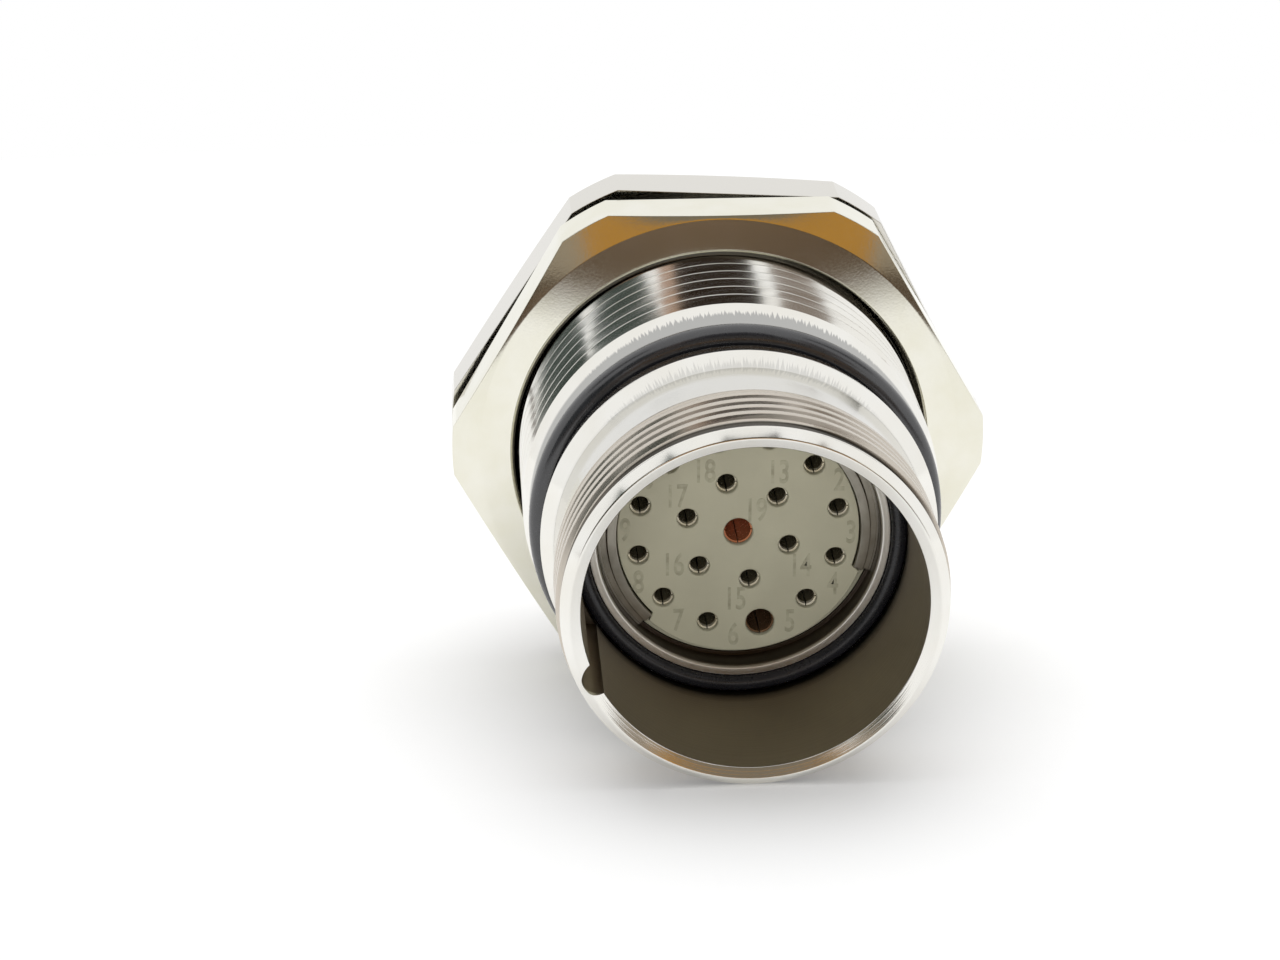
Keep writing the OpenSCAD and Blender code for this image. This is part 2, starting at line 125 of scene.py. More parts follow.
class ShellSizes(bpy.types.PropertyGroup):
    """Sizes of the turned shell, its seals and the two hexagons."""
    columns: IntProperty(name="Columns", description="Faces round a turned piece", default=192)
    edge_round: length("Edge round", "Width of the broken edges on metal", 0.05 * MM)
    rear_end: length("Rear end", "Station of the rear barrel's end", back_of("shell"))
    rim_front: length("Rim", "Station of the rim", front_of("shell"))
    mating_radius: length("Mating bore", "Radius of the mating bore", mount_radius("mating_bore"))
    bore_end: length("Bore end", "Station of the mating bore's end", mount_end("mating_bore", -1))
    coupling_radius: length("Coupling thread", "Radius of the coupling thread's crest",
                            mount_radius("coupling_thread"))
    coupling_back: length("Coupling back", "Station of the coupling thread's rear end",
                          mount_end("coupling_thread", -1))
    coupling_front: length("Coupling front", "Station of the coupling thread's front end",
                           mount_end("coupling_thread", 1))
    coupling_pitch: length("Coupling pitch", "Pitch of the coupling thread", 1.0 * MM)
    coupling_depth: length("Coupling depth", "Depth of the coupling thread", 0.3 * MM)
    coupling_crest: share("Coupling crest", "Share of a pitch that the crest takes", 0.45)
    coupling_root: share("Coupling root", "Share of a pitch that the root takes", 0.1)
    coupling_edge: length("Coupling edge", "Width of the coupling thread's broken edges", 0.07 * MM)
    relief_depth: length("Relief depth", "Depth of the groove in front of the coupling thread",
                         0.35 * MM)
    relief_width: length("Relief width", "Width of that groove", 0.85 * MM)
    collar_width: length("Collar width", "Width of the collar between groove and rim", 0.15 * MM)
    collar_drop: length("Collar drop", "How far that collar lies under the thread's crest", 0.2 * MM)
    rim_inner_width: length("Inner chamfer", "Width of the chamfer inside the rim", 0.6 * MM)
    rim_inner_depth: length("Inner chamfer depth", "Depth of that chamfer", 0.3 * MM)
    rim_flat: length("Rim flat", "Width of the flat on the rim's front edge", 0.1 * MM)
    neck_relief: length("Neck relief", "How far the neck lies under the coupling thread", 0.2 * MM)
    lip_rise: length("Lip rise", "How far the lip stands above the coupling thread", 0.6 * MM)
    lip_length: length("Lip length", "Length of the lip", 1.7 * MM)
    slope_length: length("Lip slope", "Length of the slope from the lip to the neck", 0.8 * MM)
    lip_taper: length("Lip taper", "How much smaller the lip's radius is at its rear", 0.3 * MM)
    seal_stretch: length("Seal stretch", "How much slimmer the coupling seal is in its groove",
                         0.9 * MM)
    seal_room: length("Seal room", "Gap on each side of the coupling seal", 0.3 * MM)
    seal_clear: length("Seal gap", "Gap between a seal and its groove", 0.03 * MM)
    gasket_round: length("Gasket edge", "Width of the rounded edges on the gasket", 0.15 * MM)
    panel_radius: length("Panel thread", "Radius of the panel thread's crest", 13.0 * MM)
    panel_pitch: length("Panel pitch", "Pitch of the panel thread", 1.5 * MM)
    panel_depth: length("Panel depth", "Depth of the panel thread", 0.8 * MM)
    panel_crest: share("Panel crest", "Share of a pitch that the crest takes", 0.06)
    panel_root: share("Panel root", "Share of a pitch that the root takes", 0.16)
    panel_edge: length("Panel edge", "Width of the panel thread's broken edges", 0.025 * MM)
    panel_lead: length("Lead-in depth", "Radial depth of the thread's lead-in cone", 0.65 * MM)
    panel_lead_length: length("Lead-in length", "Length of the lead-in cone", 1.9 * MM)
    # A darker band painted on the lead-in cone beside the coupling seal and on the neck is painted
    # shade; these sizes place it and its ragged edge.
    film_width: length("Film width", "Width of the oil film on the lead-in cone", 0.75 * MM)
    film_ragged: length("Film edge", "Height of the film's ragged edge at the top", 0.5 * MM)
    film_top: turn_of("Film top", "Angle from the top within which the film's edge is ragged", 22)
    film_side: turn_of("Film side", "Angle from the top past which the film's edge is even", 50)
    sleeve_wall: length("Sleeve wall", "Gap between the sleeve's bore and the seal's groove",
                        0.6 * MM)
    sleeve_step: length("Sleeve step", "How far the sleeve lies behind the mating bore", 1.0 * MM)
    sleeve_chamfer: length("Sleeve chamfer", "Chamfer at the sleeve's rim", 0.15 * MM)
    insert_clear: length("Insert gap", "Gap between the insert and the sleeve", 0.05 * MM)
    ledge_front: length("Ledge front", "Station of the ledge's front", 6.4 * MM)
    ledge_back: length("Ledge back", "Station of the ledge's rear", 4.4 * MM)
    ledge_radius: length("Ledge bore", "Radius of the hole in the ledge", 8.0 * MM)
    rear_radius: length("Rear barrel", "Radius of the rear barrel", 12.2 * MM)
    rear_bore: length("Rear bore", "Radius of the rear barrel's bore", 10.4 * MM)
    rear_chamfer: length("Rear chamfer", "Chamfer at the rear barrel's end", 0.6 * MM)
    flange_depth: length("Flange", "Thickness of the hexagonal flange", 4.0 * MM)
    flange_turn: turn_of("Flange turn", "Turn of the flange against the nut", -3)
    flat_radius: length("Flats", "Distance from the axis to a flat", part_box("panel_nut")[1].z)
    corner_radius: length("Corners", "Radius of the turned corners", reach_of("panel_nut"))
    land_inset: length("Land inset", "How far the face's land ends inside the flats", 0.25 * MM)
    corner_slope: turn_of("Corner slope", "Slope of the corner chamfer", 15)
    land_slope: turn_of("Land slope", "Slope of the land on the nut's face", 8)
    nut_bore: length("Nut bore", "Radius of the nut's bore", 13.05 * MM)
    nut_countersink: length("Nut countersink", "Width of the countersink at the nut's bore",
                            0.5 * MM)
    keyway_radius: length("Keyway radius", "Radius of the half-round keyway", 1.0 * MM)
    keyway_centre: length("Keyway centre", "Distance from the axis to the keyway's middle", 9.95 * MM)
    keyway_angle: turn_of("Keyway angle", "Angle of the keyway", 204)

    @property
    def seal_back(self):
        """Station of the coupling seal's rear, as it lies in its groove."""
        return back_of("coupling_seal") + self.seal_stretch

    @property
    def groove_back(self):
        """Station of the rear of the coupling seal's groove."""
        return self.seal_back - self.seal_room

    @property
    def groove_front(self):
        """Station of the front of the coupling seal's groove."""
        return front_of("coupling_seal") + self.seal_room

    @property
    def slope_front(self):
        """Station where the slope from the lip meets the neck."""
        return self.groove_front + self.lip_length + self.slope_length

    @property
    def neck_radius(self):
        """Radius of the neck behind the coupling thread."""
        return self.coupling_radius - self.neck_relief

    @property
    def relief_radius(self):
        """Radius of the relief groove's floor."""
        return self.coupling_radius - self.relief_depth

    @property
    def relief_front(self):
        """Station of the relief groove's front."""
        return self.coupling_front + self.relief_width

    @property
    def chamfer_back(self):
        """Station where the chamfer inside the rim ends."""
        return self.rim_front - self.rim_inner_depth

    @property
    def sleeve_front(self):
        """Station of the sleeve's rim."""
        return self.bore_end - self.sleeve_step

    @property
    def land_radius(self):
        """Radius at which a hexagon's corner chamfer starts."""
        return self.flat_radius - self.land_inset

    @property
    def corner_chamfer(self):
        """Depth of the chamfer at a hexagon's corners."""
        return (self.corner_radius - self.land_radius) * tan(self.corner_slope)

    @property
    def sink_radius(self):
        """Radius of the countersink at the nut's bore."""
        return self.nut_bore + self.nut_countersink


class InsertSizes(bpy.types.PropertyGroup):
    """Sizes of the insert, its retaining ring, the contacts and their numbers."""
    neck_radius: length("Neck", "Radius of the insert inside the retaining ring", 7.4 * MM)
    key_radius: length("Key", "Radius of the insert where it fills the ring's opening", 7.95 * MM)
    key_angle: turn_of("Key angle", "Angle of the key's middle", -77)
    key_span: turn_of("Key span", "Width of the key", 114)
    ring_gap: turn_of("Ring opening", "Opening of the retaining ring", 116)
    ring_bore: length("Ring bore", "Inner radius of the retaining ring", 7.45 * MM)
    ring_step: length("Ring step", "Radius of the step on the ring's front", 8.05 * MM)
    spigot_radius: length("Spigot", "Radius of the rear half's spigot", 7.95 * MM)
    plastic_round: length("Plastic edge", "Width of the rounded edges on the insert", 0.08 * MM)
    hole_chamfer: length("Hole chamfer", "Chamfer round a contact hole", 0.1 * MM)
    entry_wall: length("Entry wall", "Thickness of the wall in front of the contacts", 0.4 * MM)
    contact_clear: length("Contact gap", "Gap between a contact and the insert", 0.05 * MM)
    collar_length: length("Collar", "Length of a contact's collar", 1.0 * MM)
    socket_depth: length("Socket depth", "Depth of a contact's bore", 5.0 * MM)
    slot_width: length("Slot width", "Width of the slots in a contact's socket", 0.08 * MM)
    slot_length: length("Slot length", "Length of those slots", 4.0 * MM)
    cup_bore_depth: length("Cup depth", "Depth of the bore in a solder cup", 4.0 * MM)
    cup_cut: length("Cup opening", "Length of the opening in a solder cup's side", 3.0 * MM)
    contact_round: length("Contact edge", "Width of the broken edges on a contact", 0.04 * MM)
    large_collar: length("Large collar", "Collar diameter from which a contact is a large one",
                         2.65 * MM)
    small_entry: length("Small entry", "Hole in the insert for a small contact", 1.25 * MM)
    small_bore: length("Small bore", "Bore of a small contact", 1.05 * MM)
    small_socket: length("Small socket", "Outside of a small contact's socket", 1.9 * MM)
    small_cup: length("Small cup", "Outside of a small contact's solder cup", 1.7 * MM)
    small_cup_bore: length("Small cup bore", "Bore of a small contact's solder cup", 1.2 * MM)
    large_entry: length("Large entry", "Hole in the insert for a large contact", 1.75 * MM)
    large_bore: length("Large bore", "Bore of a large contact", 1.55 * MM)
    large_socket: length("Large socket", "Outside of a large contact's socket", 2.2 * MM)
    large_cup: length("Large cup", "Outside of a large contact's solder cup", 2.0 * MM)
    large_cup_bore: length("Large cup bore", "Bore of a large contact's solder cup", 1.5 * MM)
    number_height: length("Number height", "Height of the contact numbers", 1.5 * MM)
    number_stroke: length("Number stroke", "How much the number's strokes are thickened", 0.03 * MM)
    number_relief: length("Number relief", "How far the contact numbers stand proud", 0.03 * MM)
    number_squeeze: share("Number width", "Width of a number against the plain type", 0.68)
    number_step: turn_of("Number step", "How far a number lies clockwise from its contact", 15)
    outer_number_radius: length("Outer numbers", "Radius of the outer ring's numbers", 6.9 * MM)
    inner_number_radius: length("Inner numbers", "Radius of the inner ring's numbers", 4.5 * MM)
    centre_number: FloatVectorProperty(
        name="Centre number", description="Place of the centre contact's number, right and up",
        default=(1.04 * MM, 1.35 * MM), size=2, unit="LENGTH", subtype="XYZ")


class Finishes(bpy.types.PropertyGroup):
    """Colours and gloss of the surfaces."""
    nickel: tint("Nickel", "Bright nickel plate", (0.87, 0.86, 0.82))
    nickel_warm: tint("Warm nickel", "Yellower patches in the plate", (0.83, 0.81, 0.75))
    nickel_dull: tint("Dull nickel", "Duller plate behind the panel", (0.70, 0.68, 0.63))
    # The coupling thread's plate is darker and browner than the rest.
    nickel_worn: tint("Worn nickel", "Dulled plate on the coupling thread", (0.60, 0.55, 0.48))
    nickel_gloss: share("Nickel roughness", "Roughness of the bright plate", 0.12)
    worn_gloss: share("Worn roughness", "Roughness of the coupling thread", 0.26)
    bore_gloss: share("Bore roughness", "Roughness of the plate inside the mouth", 0.42)
    satin: tint("Satin nickel", "Satin plate on the nut", (0.84, 0.825, 0.735))
    satin_warm: tint("Warm satin", "Yellower patches in the satin plate", (0.80, 0.78, 0.66))
    satin_gloss: share("Satin roughness", "Roughness of the nut's satin plate", 0.1)
    # Painted shade: a dark colour painted into the nut's bore, the relief groove and the mating bore's
    # end, where shade falls.
    grime: tint("Grime", "Dark film in the nut's bore, the relief groove and the mouth's end",
                (0.05, 0.045, 0.035))
    # Painted shade: the plate inside the mouth is painted darker and browner, and darker still inside
    # the sleeve round the insert.
    bore: tint("Bore", "Plate inside the mouth", (0.34, 0.29, 0.225))
    bore_deep: tint("Sleeve", "Plate inside the sleeve round the insert", (0.17, 0.14, 0.115))
    # Painted shadow of the face seal: share of painted shade where the mating bore ends.
    bore_oil: share("Bore oil", "Share of the dark film where the mating bore ends", 0.7)
    # Painted shade: the darker plate painted in that band on the cone and the neck, and its shares
    # there.
    film: tint("Oil film", "Plate under the oil film", (0.40, 0.40, 0.39))
    film_on_cone: share("Film on the cone", "Share of the oil film on the lead-in cone", 0.85)
    film_on_neck: share("Film on the neck", "Share of the oil film on the neck", 0.35)
    ring: tint("Ring", "Dull plate on the retaining ring", (0.36, 0.34, 0.29))
    ring_dark: tint("Ring dark", "Darker patches on the retaining ring", (0.24, 0.225, 0.19))
    rubber: tint("Rubber", "Black rubber", (0.012, 0.012, 0.014))
    rubber_worn: tint("Rubber bloom", "Greyer patches in the rubber", (0.018, 0.018, 0.021))
    seal_oil: share("Seal oil", "Weight of the oil film on the coupling seal", 0.25)
    plastic: tint("Plastic", "Beige moulded plastic", (0.47, 0.45, 0.33))
    plastic_dark: tint("Plastic mottling", "Darker flow marks in the plastic", (0.43, 0.41, 0.30))
    number: tint("Numbers", "Contact numbers", (0.30, 0.285, 0.20))
    gold: tint("Gold", "Pale gold plate on the contacts", (0.74, 0.66, 0.46))
    gold_pale: tint("Pale gold", "Thinner patches in the gold", (0.80, 0.76, 0.64))
    # Painted shade: the gold behind the socket's mouth is painted dark brown, where shade falls in the
    # hole.
    gold_deep: tint("Deep gold", "Tarnished gold inside the sockets", (0.15, 0.13, 0.08))
    gold_metal: share("Gold metal", "How metallic the gold plate is", 0.3)
    bare_metal: share("Bare metal", "How metallic the two unplated contacts are", 0.4)
    bronze: tint("Bronze", "Bare metal of the contact in the key", (0.26, 0.15, 0.075))
    # Darker patches in the bronze; behind the socket's mouth this colour is also painted shade.
    bronze_dark: tint("Dark bronze", "Darker patches in that metal", (0.17, 0.095, 0.05))
    copper: tint("Copper", "Reddish metal of the centre contact", (0.68, 0.27, 0.13))
    copper_dark: tint("Dark copper", "Darker patches in that metal", (0.56, 0.20, 0.09))


class StageSettings(bpy.types.PropertyGroup):
    """Camera, floor, light and the room that the metal mirrors."""
    camera_place: FloatVectorProperty(
        name="Camera", description="Place of the camera", size=3, unit="LENGTH",
        subtype="TRANSLATION", default=(-16.7 * MM, -196.7 * MM, 76.6 * MM))
    camera_aim: FloatVectorProperty(
        name="Aim", description="Direction in which the camera looks", size=3,
        subtype="DIRECTION", default=(0.0555, 0.9238, -0.3788))
    lens: FloatProperty(name="Lens", description="Focal length", default=89.9, unit="CAMERA")
    sensor: FloatProperty(name="Sensor", description="Width of the sensor", default=36, unit="CAMERA")
    floor_size: length("Floor", "Width of the floor", 700 * MM)
    floor_colour: tint("Floor colour", "Pale floor", (0.93, 0.93, 0.93))
    floor_wear: share("Floor wear", "Brightness of the floor's duller patches", 0.985)
    sheet_front: length("Sheet front", "How far the white sheet on the floor reaches in front",
                        88 * MM)
    sheet_blur: share("Sheet blur", "Share of that reach by which its edge is soft", 0.15)
    fade_start: length("Fade start", "Distance at which the floor starts to fade to white", 30 * MM)
    fade_end: length("Fade end", "Distance at which the floor is plain white", 90 * MM)
    floor_lift: share("Floor lift", "Extra white that the camera and the metal see on the floor", 0.12)
    world_fill: share("Fill", "Strength of the room's light on matt surfaces", 0.45)
    softbox_power: FloatProperty(name="Softbox", description="Power of the overhead softbox",
                                 default=1.4, unit="POWER")
    softbox_size: length("Softbox width", "Width of the overhead softbox", 500 * MM)
    softbox_height: length("Softbox height", "Height of the overhead softbox", 360 * MM)
    softbox_setback: length("Softbox setback", "How far back the softbox hangs", 150 * MM)
    front_power: FloatProperty(name="Front lamp", description="Power of the lamp under the camera",
                               default=0.24, unit="POWER")
    front_size: length("Front lamp width", "Width of the front lamp", 120 * MM)
    front_drop: length("Front lamp drop", "How far the front lamp hangs under the camera", 55 * MM)
    card_distance: length("Card distance", "Distance of the reflected cards", 260 * MM)
    card_centre: FloatVectorProperty(
        name="Card centre", description="Place that the reflected cards stand round", size=3,
        unit="LENGTH", subtype="TRANSLATION", default=(0, -12 * MM, 12 * MM))
    room: tint("Room", "Dim green room on the left", (0.055, 0.07, 0.062))
    timber: tint("Timber", "Brown furniture in that room", (0.42, 0.28, 0.20))
    shelf: tint("Shelf", "Brown shelf on the right", (0.24, 0.20, 0.17))
    shade: tint("Shade", "Dark ceiling above the camera", (0.022, 0.015, 0.010))
    curtain: tint("Curtain", "Grey curtains high on both sides", (0.24, 0.24, 0.23))
    wall: tint("Wall", "Brown wall over the bench", (0.20, 0.17, 0.13))
    bench: tint("Bench", "Golden front of the bench under the camera", (0.46, 0.235, 0.05))
    bench_side: tint("Bench sides", "Duller ends of that front", (0.33, 0.28, 0.22))
    bench_edge: tint("Bench top", "Dark top of the bench in front of the sheet", (0.08, 0.052, 0.032))


# Shapes

def at(radius, station, angle=0.0):
    """The point at a radius, a station and an angle."""
    return Vector((radius * cos(angle), -station, radius * sin(angle)))


def radius_of(vert):
    """Distance of a vertex from the shell's axis."""
    return hypot(vert.co.x, vert.co.z)


def angle_of(vert):
    """Angle of a vertex round the shell's axis."""
    return atan2(vert.co.z, vert.co.x)


def draw_profile(bm, corners, closed=False):
    """Draw edges through (radius, station) corners and return the new geometry."""
    verts = [bm.verts.new(at(*corner)) for corner in corners]
    following = verts[1:] + verts[:1] if closed else verts[1:]
    return verts + [bm.edges.new(pair) for pair in zip(verts, following)]


def turn(bm, geometry, columns, angle=FULL_TURN, rise=0.0):
    """Spin a profile round the shell's axis. With a rise it climbs as a thread does."""
    bmesh.ops.spin(bm, geom=geometry, cent=(0, 0, 0), axis=FORWARD, angle=angle, steps=columns,
                   dvec=FORWARD * (rise / columns), use_merge=angle == FULL_TURN and rise == 0)
    bmesh.ops.remove_doubles(bm, verts=bm.verts, dist=MERGE_DISTANCE)
    bmesh.ops.recalc_face_normals(bm, faces=bm.faces)


def break_edges(bm, width):
    """Round every edge that turns by more than a little."""
    edges = [edge for edge in bm.edges
             if len(edge.link_faces) == 2 and edge.calc_face_angle() > SOFT_ANGLE]
    bmesh.ops.bevel(bm, geom=edges, offset=width, offset_type="OFFSET", affect="EDGES",
                    segments=2, profile=0.5, material=-1, clamp_overlap=True)


def cut_hexagon(bm, sizes, face, inward, first_flat):
    """Flatten a turned rim into a hexagon whose face has chamfered corners.

    The face is a station, and inward is 1 or -1, the way from the face into the metal.
    """
    land = sizes.land_radius
    sixth = FULL_TURN / 6
    flat_edge = atan2((sizes.corner_radius ** 2 - sizes.flat_radius ** 2) ** 0.5,
                      sizes.flat_radius)
    half_column = FULL_TURN / sizes.columns / 2
    chamfer_end = face + inward * sizes.corner_chamfer
    rim = [vert for vert in bm.verts if radius_of(vert) > land + MERGE_DISTANCE]
    for vert in rim:
        from_flat = (angle_of(vert) - first_flat + sixth / 2) % sixth - sixth / 2
        snapped = from_flat
        if abs(abs(from_flat) - flat_edge) <= half_column:
            snapped = copysign(flat_edge, from_flat)
        radius = min(sizes.corner_radius, sizes.flat_radius / cos(snapped))
        station = -vert.co.y
        if abs(station - chamfer_end) < MERGE_DISTANCE:
            station = face + inward * (radius - land) * tan(sizes.corner_slope)
        vert.co = at(radius, station, angle_of(vert) + snapped - from_flat)


def cut_thread(bm, columns, thread_sizes, ends, end_radii, runs, edge):
    """Add a thread between two stations, fading over its runs to a plain radius at each end.

    The thread's sizes are radius, pitch and depth, and the shares of crest and root in a pitch.
    """
    radius, pitch, depth, crest, root = thread_sizes
    back, front = ends
    flank = (1 - crest - root) / 2
    spare_turns, turns_behind = 2, 1.5
    corners = []
    for number in range(ceil((front - back) / pitch) + spare_turns):
        start = back + (number - turns_behind) * pitch
        corners += [(radius, start), (radius, start + crest * pitch),
                    (radius - depth, start + (crest + flank) * pitch),
                    (radius - depth, start + (1 - flank) * pitch)]
    thread = bmesh.new()
    turn(thread, draw_profile(thread, corners), columns, rise=pitch)
    break_edges(thread, edge)
    slice_thread(thread, back, clear_inner=True)
    slice_thread(thread, front, clear_outer=True)
    for vert in thread.verts:
        station, new_radius = -vert.co.y, radius_of(vert)
        for end, end_radius, run in zip(ends, end_radii, runs):
            near = max(0.0, 1 - abs(station - end) / run)
            new_radius += (end_radius - new_radius) * near
        vert.co = at(new_radius, station, angle_of(vert))
    add_mesh(bm, thread)


def slice_thread(thread, station, **clear):
    """Cut a thread across at a station and clear one side away."""
    bmesh.ops.bisect_plane(thread, geom=thread.verts[:] + thread.edges[:] + thread.faces[:],
                           dist=MERGE_DISTANCE / 10, plane_co=at(0, station), plane_no=FORWARD,
                           **clear)


def store(bm, name, *finishes):
    """Turn a bmesh into a mesh with its finish."""
    mesh = bpy.data.meshes.new(name)
    bm.to_mesh(mesh)
    bm.free()
    for finish in finishes:
        mesh.materials.append(finish)
    return mesh


def show(name, data):
    """Put data into the scene as an object."""
    shown = bpy.data.objects.new(name, data)
    bpy.context.scene.collection.objects.link(shown)
    return shown


def add_mesh(bm, other):
    """Move another mesh into this one."""
    mesh = store(other, "moved")
    bm.from_mesh(mesh)
    bpy.data.meshes.remove(mesh)


def bridge_gap(bm, back, front):
    """Close the ring-shaped gap between two stations."""
    edges = [edge for edge in bm.edges if edge.is_boundary
             and all(back - MERGE_DISTANCE < -vert.co.y < front + MERGE_DISTANCE
                     for vert in edge.verts)]
    bmesh.ops.bridge_loops(bm, edges=edges)


def add_block(bm, size, centre):
    """Add a box."""
    place = Matrix.Translation(centre) @ Matrix.Diagonal((*size, 1))
    bmesh.ops.create_cube(bm, size=1, matrix=place)


def carve(bm, tool):
    """Cut one closed mesh out of another and return the result."""
    for shape in (bm, tool):
        bmesh.ops.recalc_face_normals(shape, faces=shape.faces)
    body, cutter = (show("carving", store(shape, "carving")) for shape in (bm, tool))
    cut = body.modifiers.new("cut", "BOOLEAN")
    cut.object = cutter
    cut.operation = "DIFFERENCE"
    cut.solver = "EXACT"
    result = bmesh.new()
    result.from_object(body, bpy.context.evaluated_depsgraph_get())
    for used in (body, cutter):
        mesh = used.data
        bpy.data.objects.remove(used)
        bpy.data.meshes.remove(mesh)
    return result


def make_piece(bm, name, finish, body, slot, *nodes):
    """Turn a finished, closed bmesh into a shaded piece."""
    bmesh.ops.recalc_face_normals(bm, faces=bm.faces)
    if any(not edge.is_manifold for edge in bm.edges):
        raise RuntimeError(f"{name} isn't a closed shape")
    for face in bm.faces:
        face.smooth = True
    normals = even_normals(bm)
    mesh = store(bm, name, finish)
    mesh.normals_split_custom_set(normals)
    place_piece(name, mesh, body, slot, *nodes)


def even_normals(bm):
    """Shading normals of all corners: at each, the largest faces that meet there smoothly lead."""
    leads = {face: face.normal * face.calc_area() / MM ** 2 for face in bm.faces}
    smooth = cos(SHARP_ANGLE)
    return [sum((leads[other] for other in loop.vert.link_faces
                 if other.normal.dot(face.normal) > smooth), Vector()).normalized()
            for face in bm.faces for loop in face.loops]


def place_piece(name, mesh, body, slot, *nodes):
    """Put a mesh into the scene as a piece that rides on a body and stands for its nodes, if any."""
    piece = show(name, mesh)
    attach(piece, body)
    if nodes:
        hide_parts(*nodes)


# Finishes

class Finish:
    """A procedural material and the nodes that make it."""

    def __init__(self, name, **sockets):
        self.material = bpy.data.materials.new(name)
        self.material.use_nodes = True
        self.tree = self.material.node_tree
        self.shader = self.tree.nodes["Principled BSDF"]
        self.place = self.add("ShaderNodeTexCoord").outputs["Object"]
        self.shade(**sockets)

    def shade(self, **sockets):
        """Feed sockets of the surface, named with underscores for spaces."""
        for socket, value in sockets.items():
            self.feed(self.shader, socket.replace("_", " "), value)

    def add(self, kind, inputs=None, **settings):
        """Add a node with its settings and inputs."""
        node = self.tree.nodes.new(kind)
        for key, value in settings.items():
            setattr(node, key, value)
        for key, value in (inputs or {}).items():
            self.feed(node, key, value)
        return node

    def feed(self, node, socket, value):
        """Link a socket, or set it where the value is a plain one."""
        if isinstance(value, bpy.types.NodeSocket):
            self.tree.links.new(value, node.inputs[socket])
        else:
            node.inputs[socket].default_value = value

    def math(self, operation, first, second=0.0):
        """One arithmetic step."""
        return self.add("ShaderNodeMath", {0: first, 1: second}, operation=operation).outputs[0]

    def times(self, first, second):
        """The product of two values."""
        return self.math("MULTIPLY", first, second)

    def without(self, part):
        """What a share leaves of one."""
        return self.ramp(part, 0, 1, low=1, high=0)

    def distance(self, vector):
        """The length of a vector."""
        return self.add("ShaderNodeVectorMath", {0: vector}, operation="LENGTH").outputs["Value"]

    def lathe_place(self):
        """Radius and station of the shaded point, and its angle from the top."""
        parts = self.add("ShaderNodeSeparateXYZ", {0: self.place}).outputs
        flat = self.add("ShaderNodeCombineXYZ", {"X": parts["X"], "Z": parts["Z"]}).outputs[0]
        turned = self.math("ARCTAN2", parts["X"], parts["Z"])
        return self.distance(flat), self.times(parts["Y"], -1.0), turned

    def noise(self, scale, detail=3.0, along=None):
        """Grain through the piece or, along a distance, a pattern of lines."""
        if along is None:
            inputs = {"Vector": self.place, "Scale": scale, "Detail": detail}
            return self.add("ShaderNodeTexNoise", inputs).outputs["Fac"]
        inputs = {"W": along, "Scale": scale, "Detail": detail}
        return self.add("ShaderNodeTexNoise", inputs, noise_dimensions="1D").outputs["Fac"]

    def ramp(self, value, start, end, low=0.0, high=1.0):
        """Go from a low to a high value while another value goes from its start to its end."""
        inputs = {"Value": value, "From Min": start, "From Max": end, "To Min": low, "To Max": high}
        return self.add("ShaderNodeMapRange", inputs).outputs[0]

    def between(self, value, start, end, soft):
        """One between two values and nought outside, with soft edges."""
        return self.times(self.ramp(value, start - soft, start + soft),
                          self.ramp(value, end - soft, end + soft, low=1, high=0))

    def spread(self, grain, low=0.0, high=1.0):
        """Spread a grain, which keeps near its middle, over a range of values."""
        return self.ramp(grain, start=0.3, end=0.7, low=low, high=high)

    def mix(self, share_of_second, first, second):
        """Mix two colours, or a colour mixed before and another one."""
        first_socket, second_socket, result_socket = 6, 7, 2  # those for colours
        mix = self.add("ShaderNodeMix", {"Factor": share_of_second}, data_type="RGBA")
        for socket, colour in ((first_socket, first), (second_socket, second)):
            mixed = isinstance(colour, bpy.types.NodeSocket)
            self.feed(mix, socket, colour if mixed else (*colour, 1))
        return mix.outputs[result_socket]

    def mottle(self, first, second, scale, detail=3.0):
        """Two colours, mixed by a grain."""
        return self.mix(self.spread(self.noise(scale, detail)), first, second)

    def bump(self, height, depth, strength=1.0):
        """Raise the surface by a grain."""
        inputs = {"Height": height, "Distance": depth, "Strength": strength}
        self.shade(Normal=self.add("ShaderNodeBump", inputs).outputs[0])

    def roughen(self, grain, low, high, depth):
        """Vary the roughness by a grain, and raise the surface by it."""
        self.shade(Roughness=self.spread(grain, low, high))
        self.bump(grain, depth)


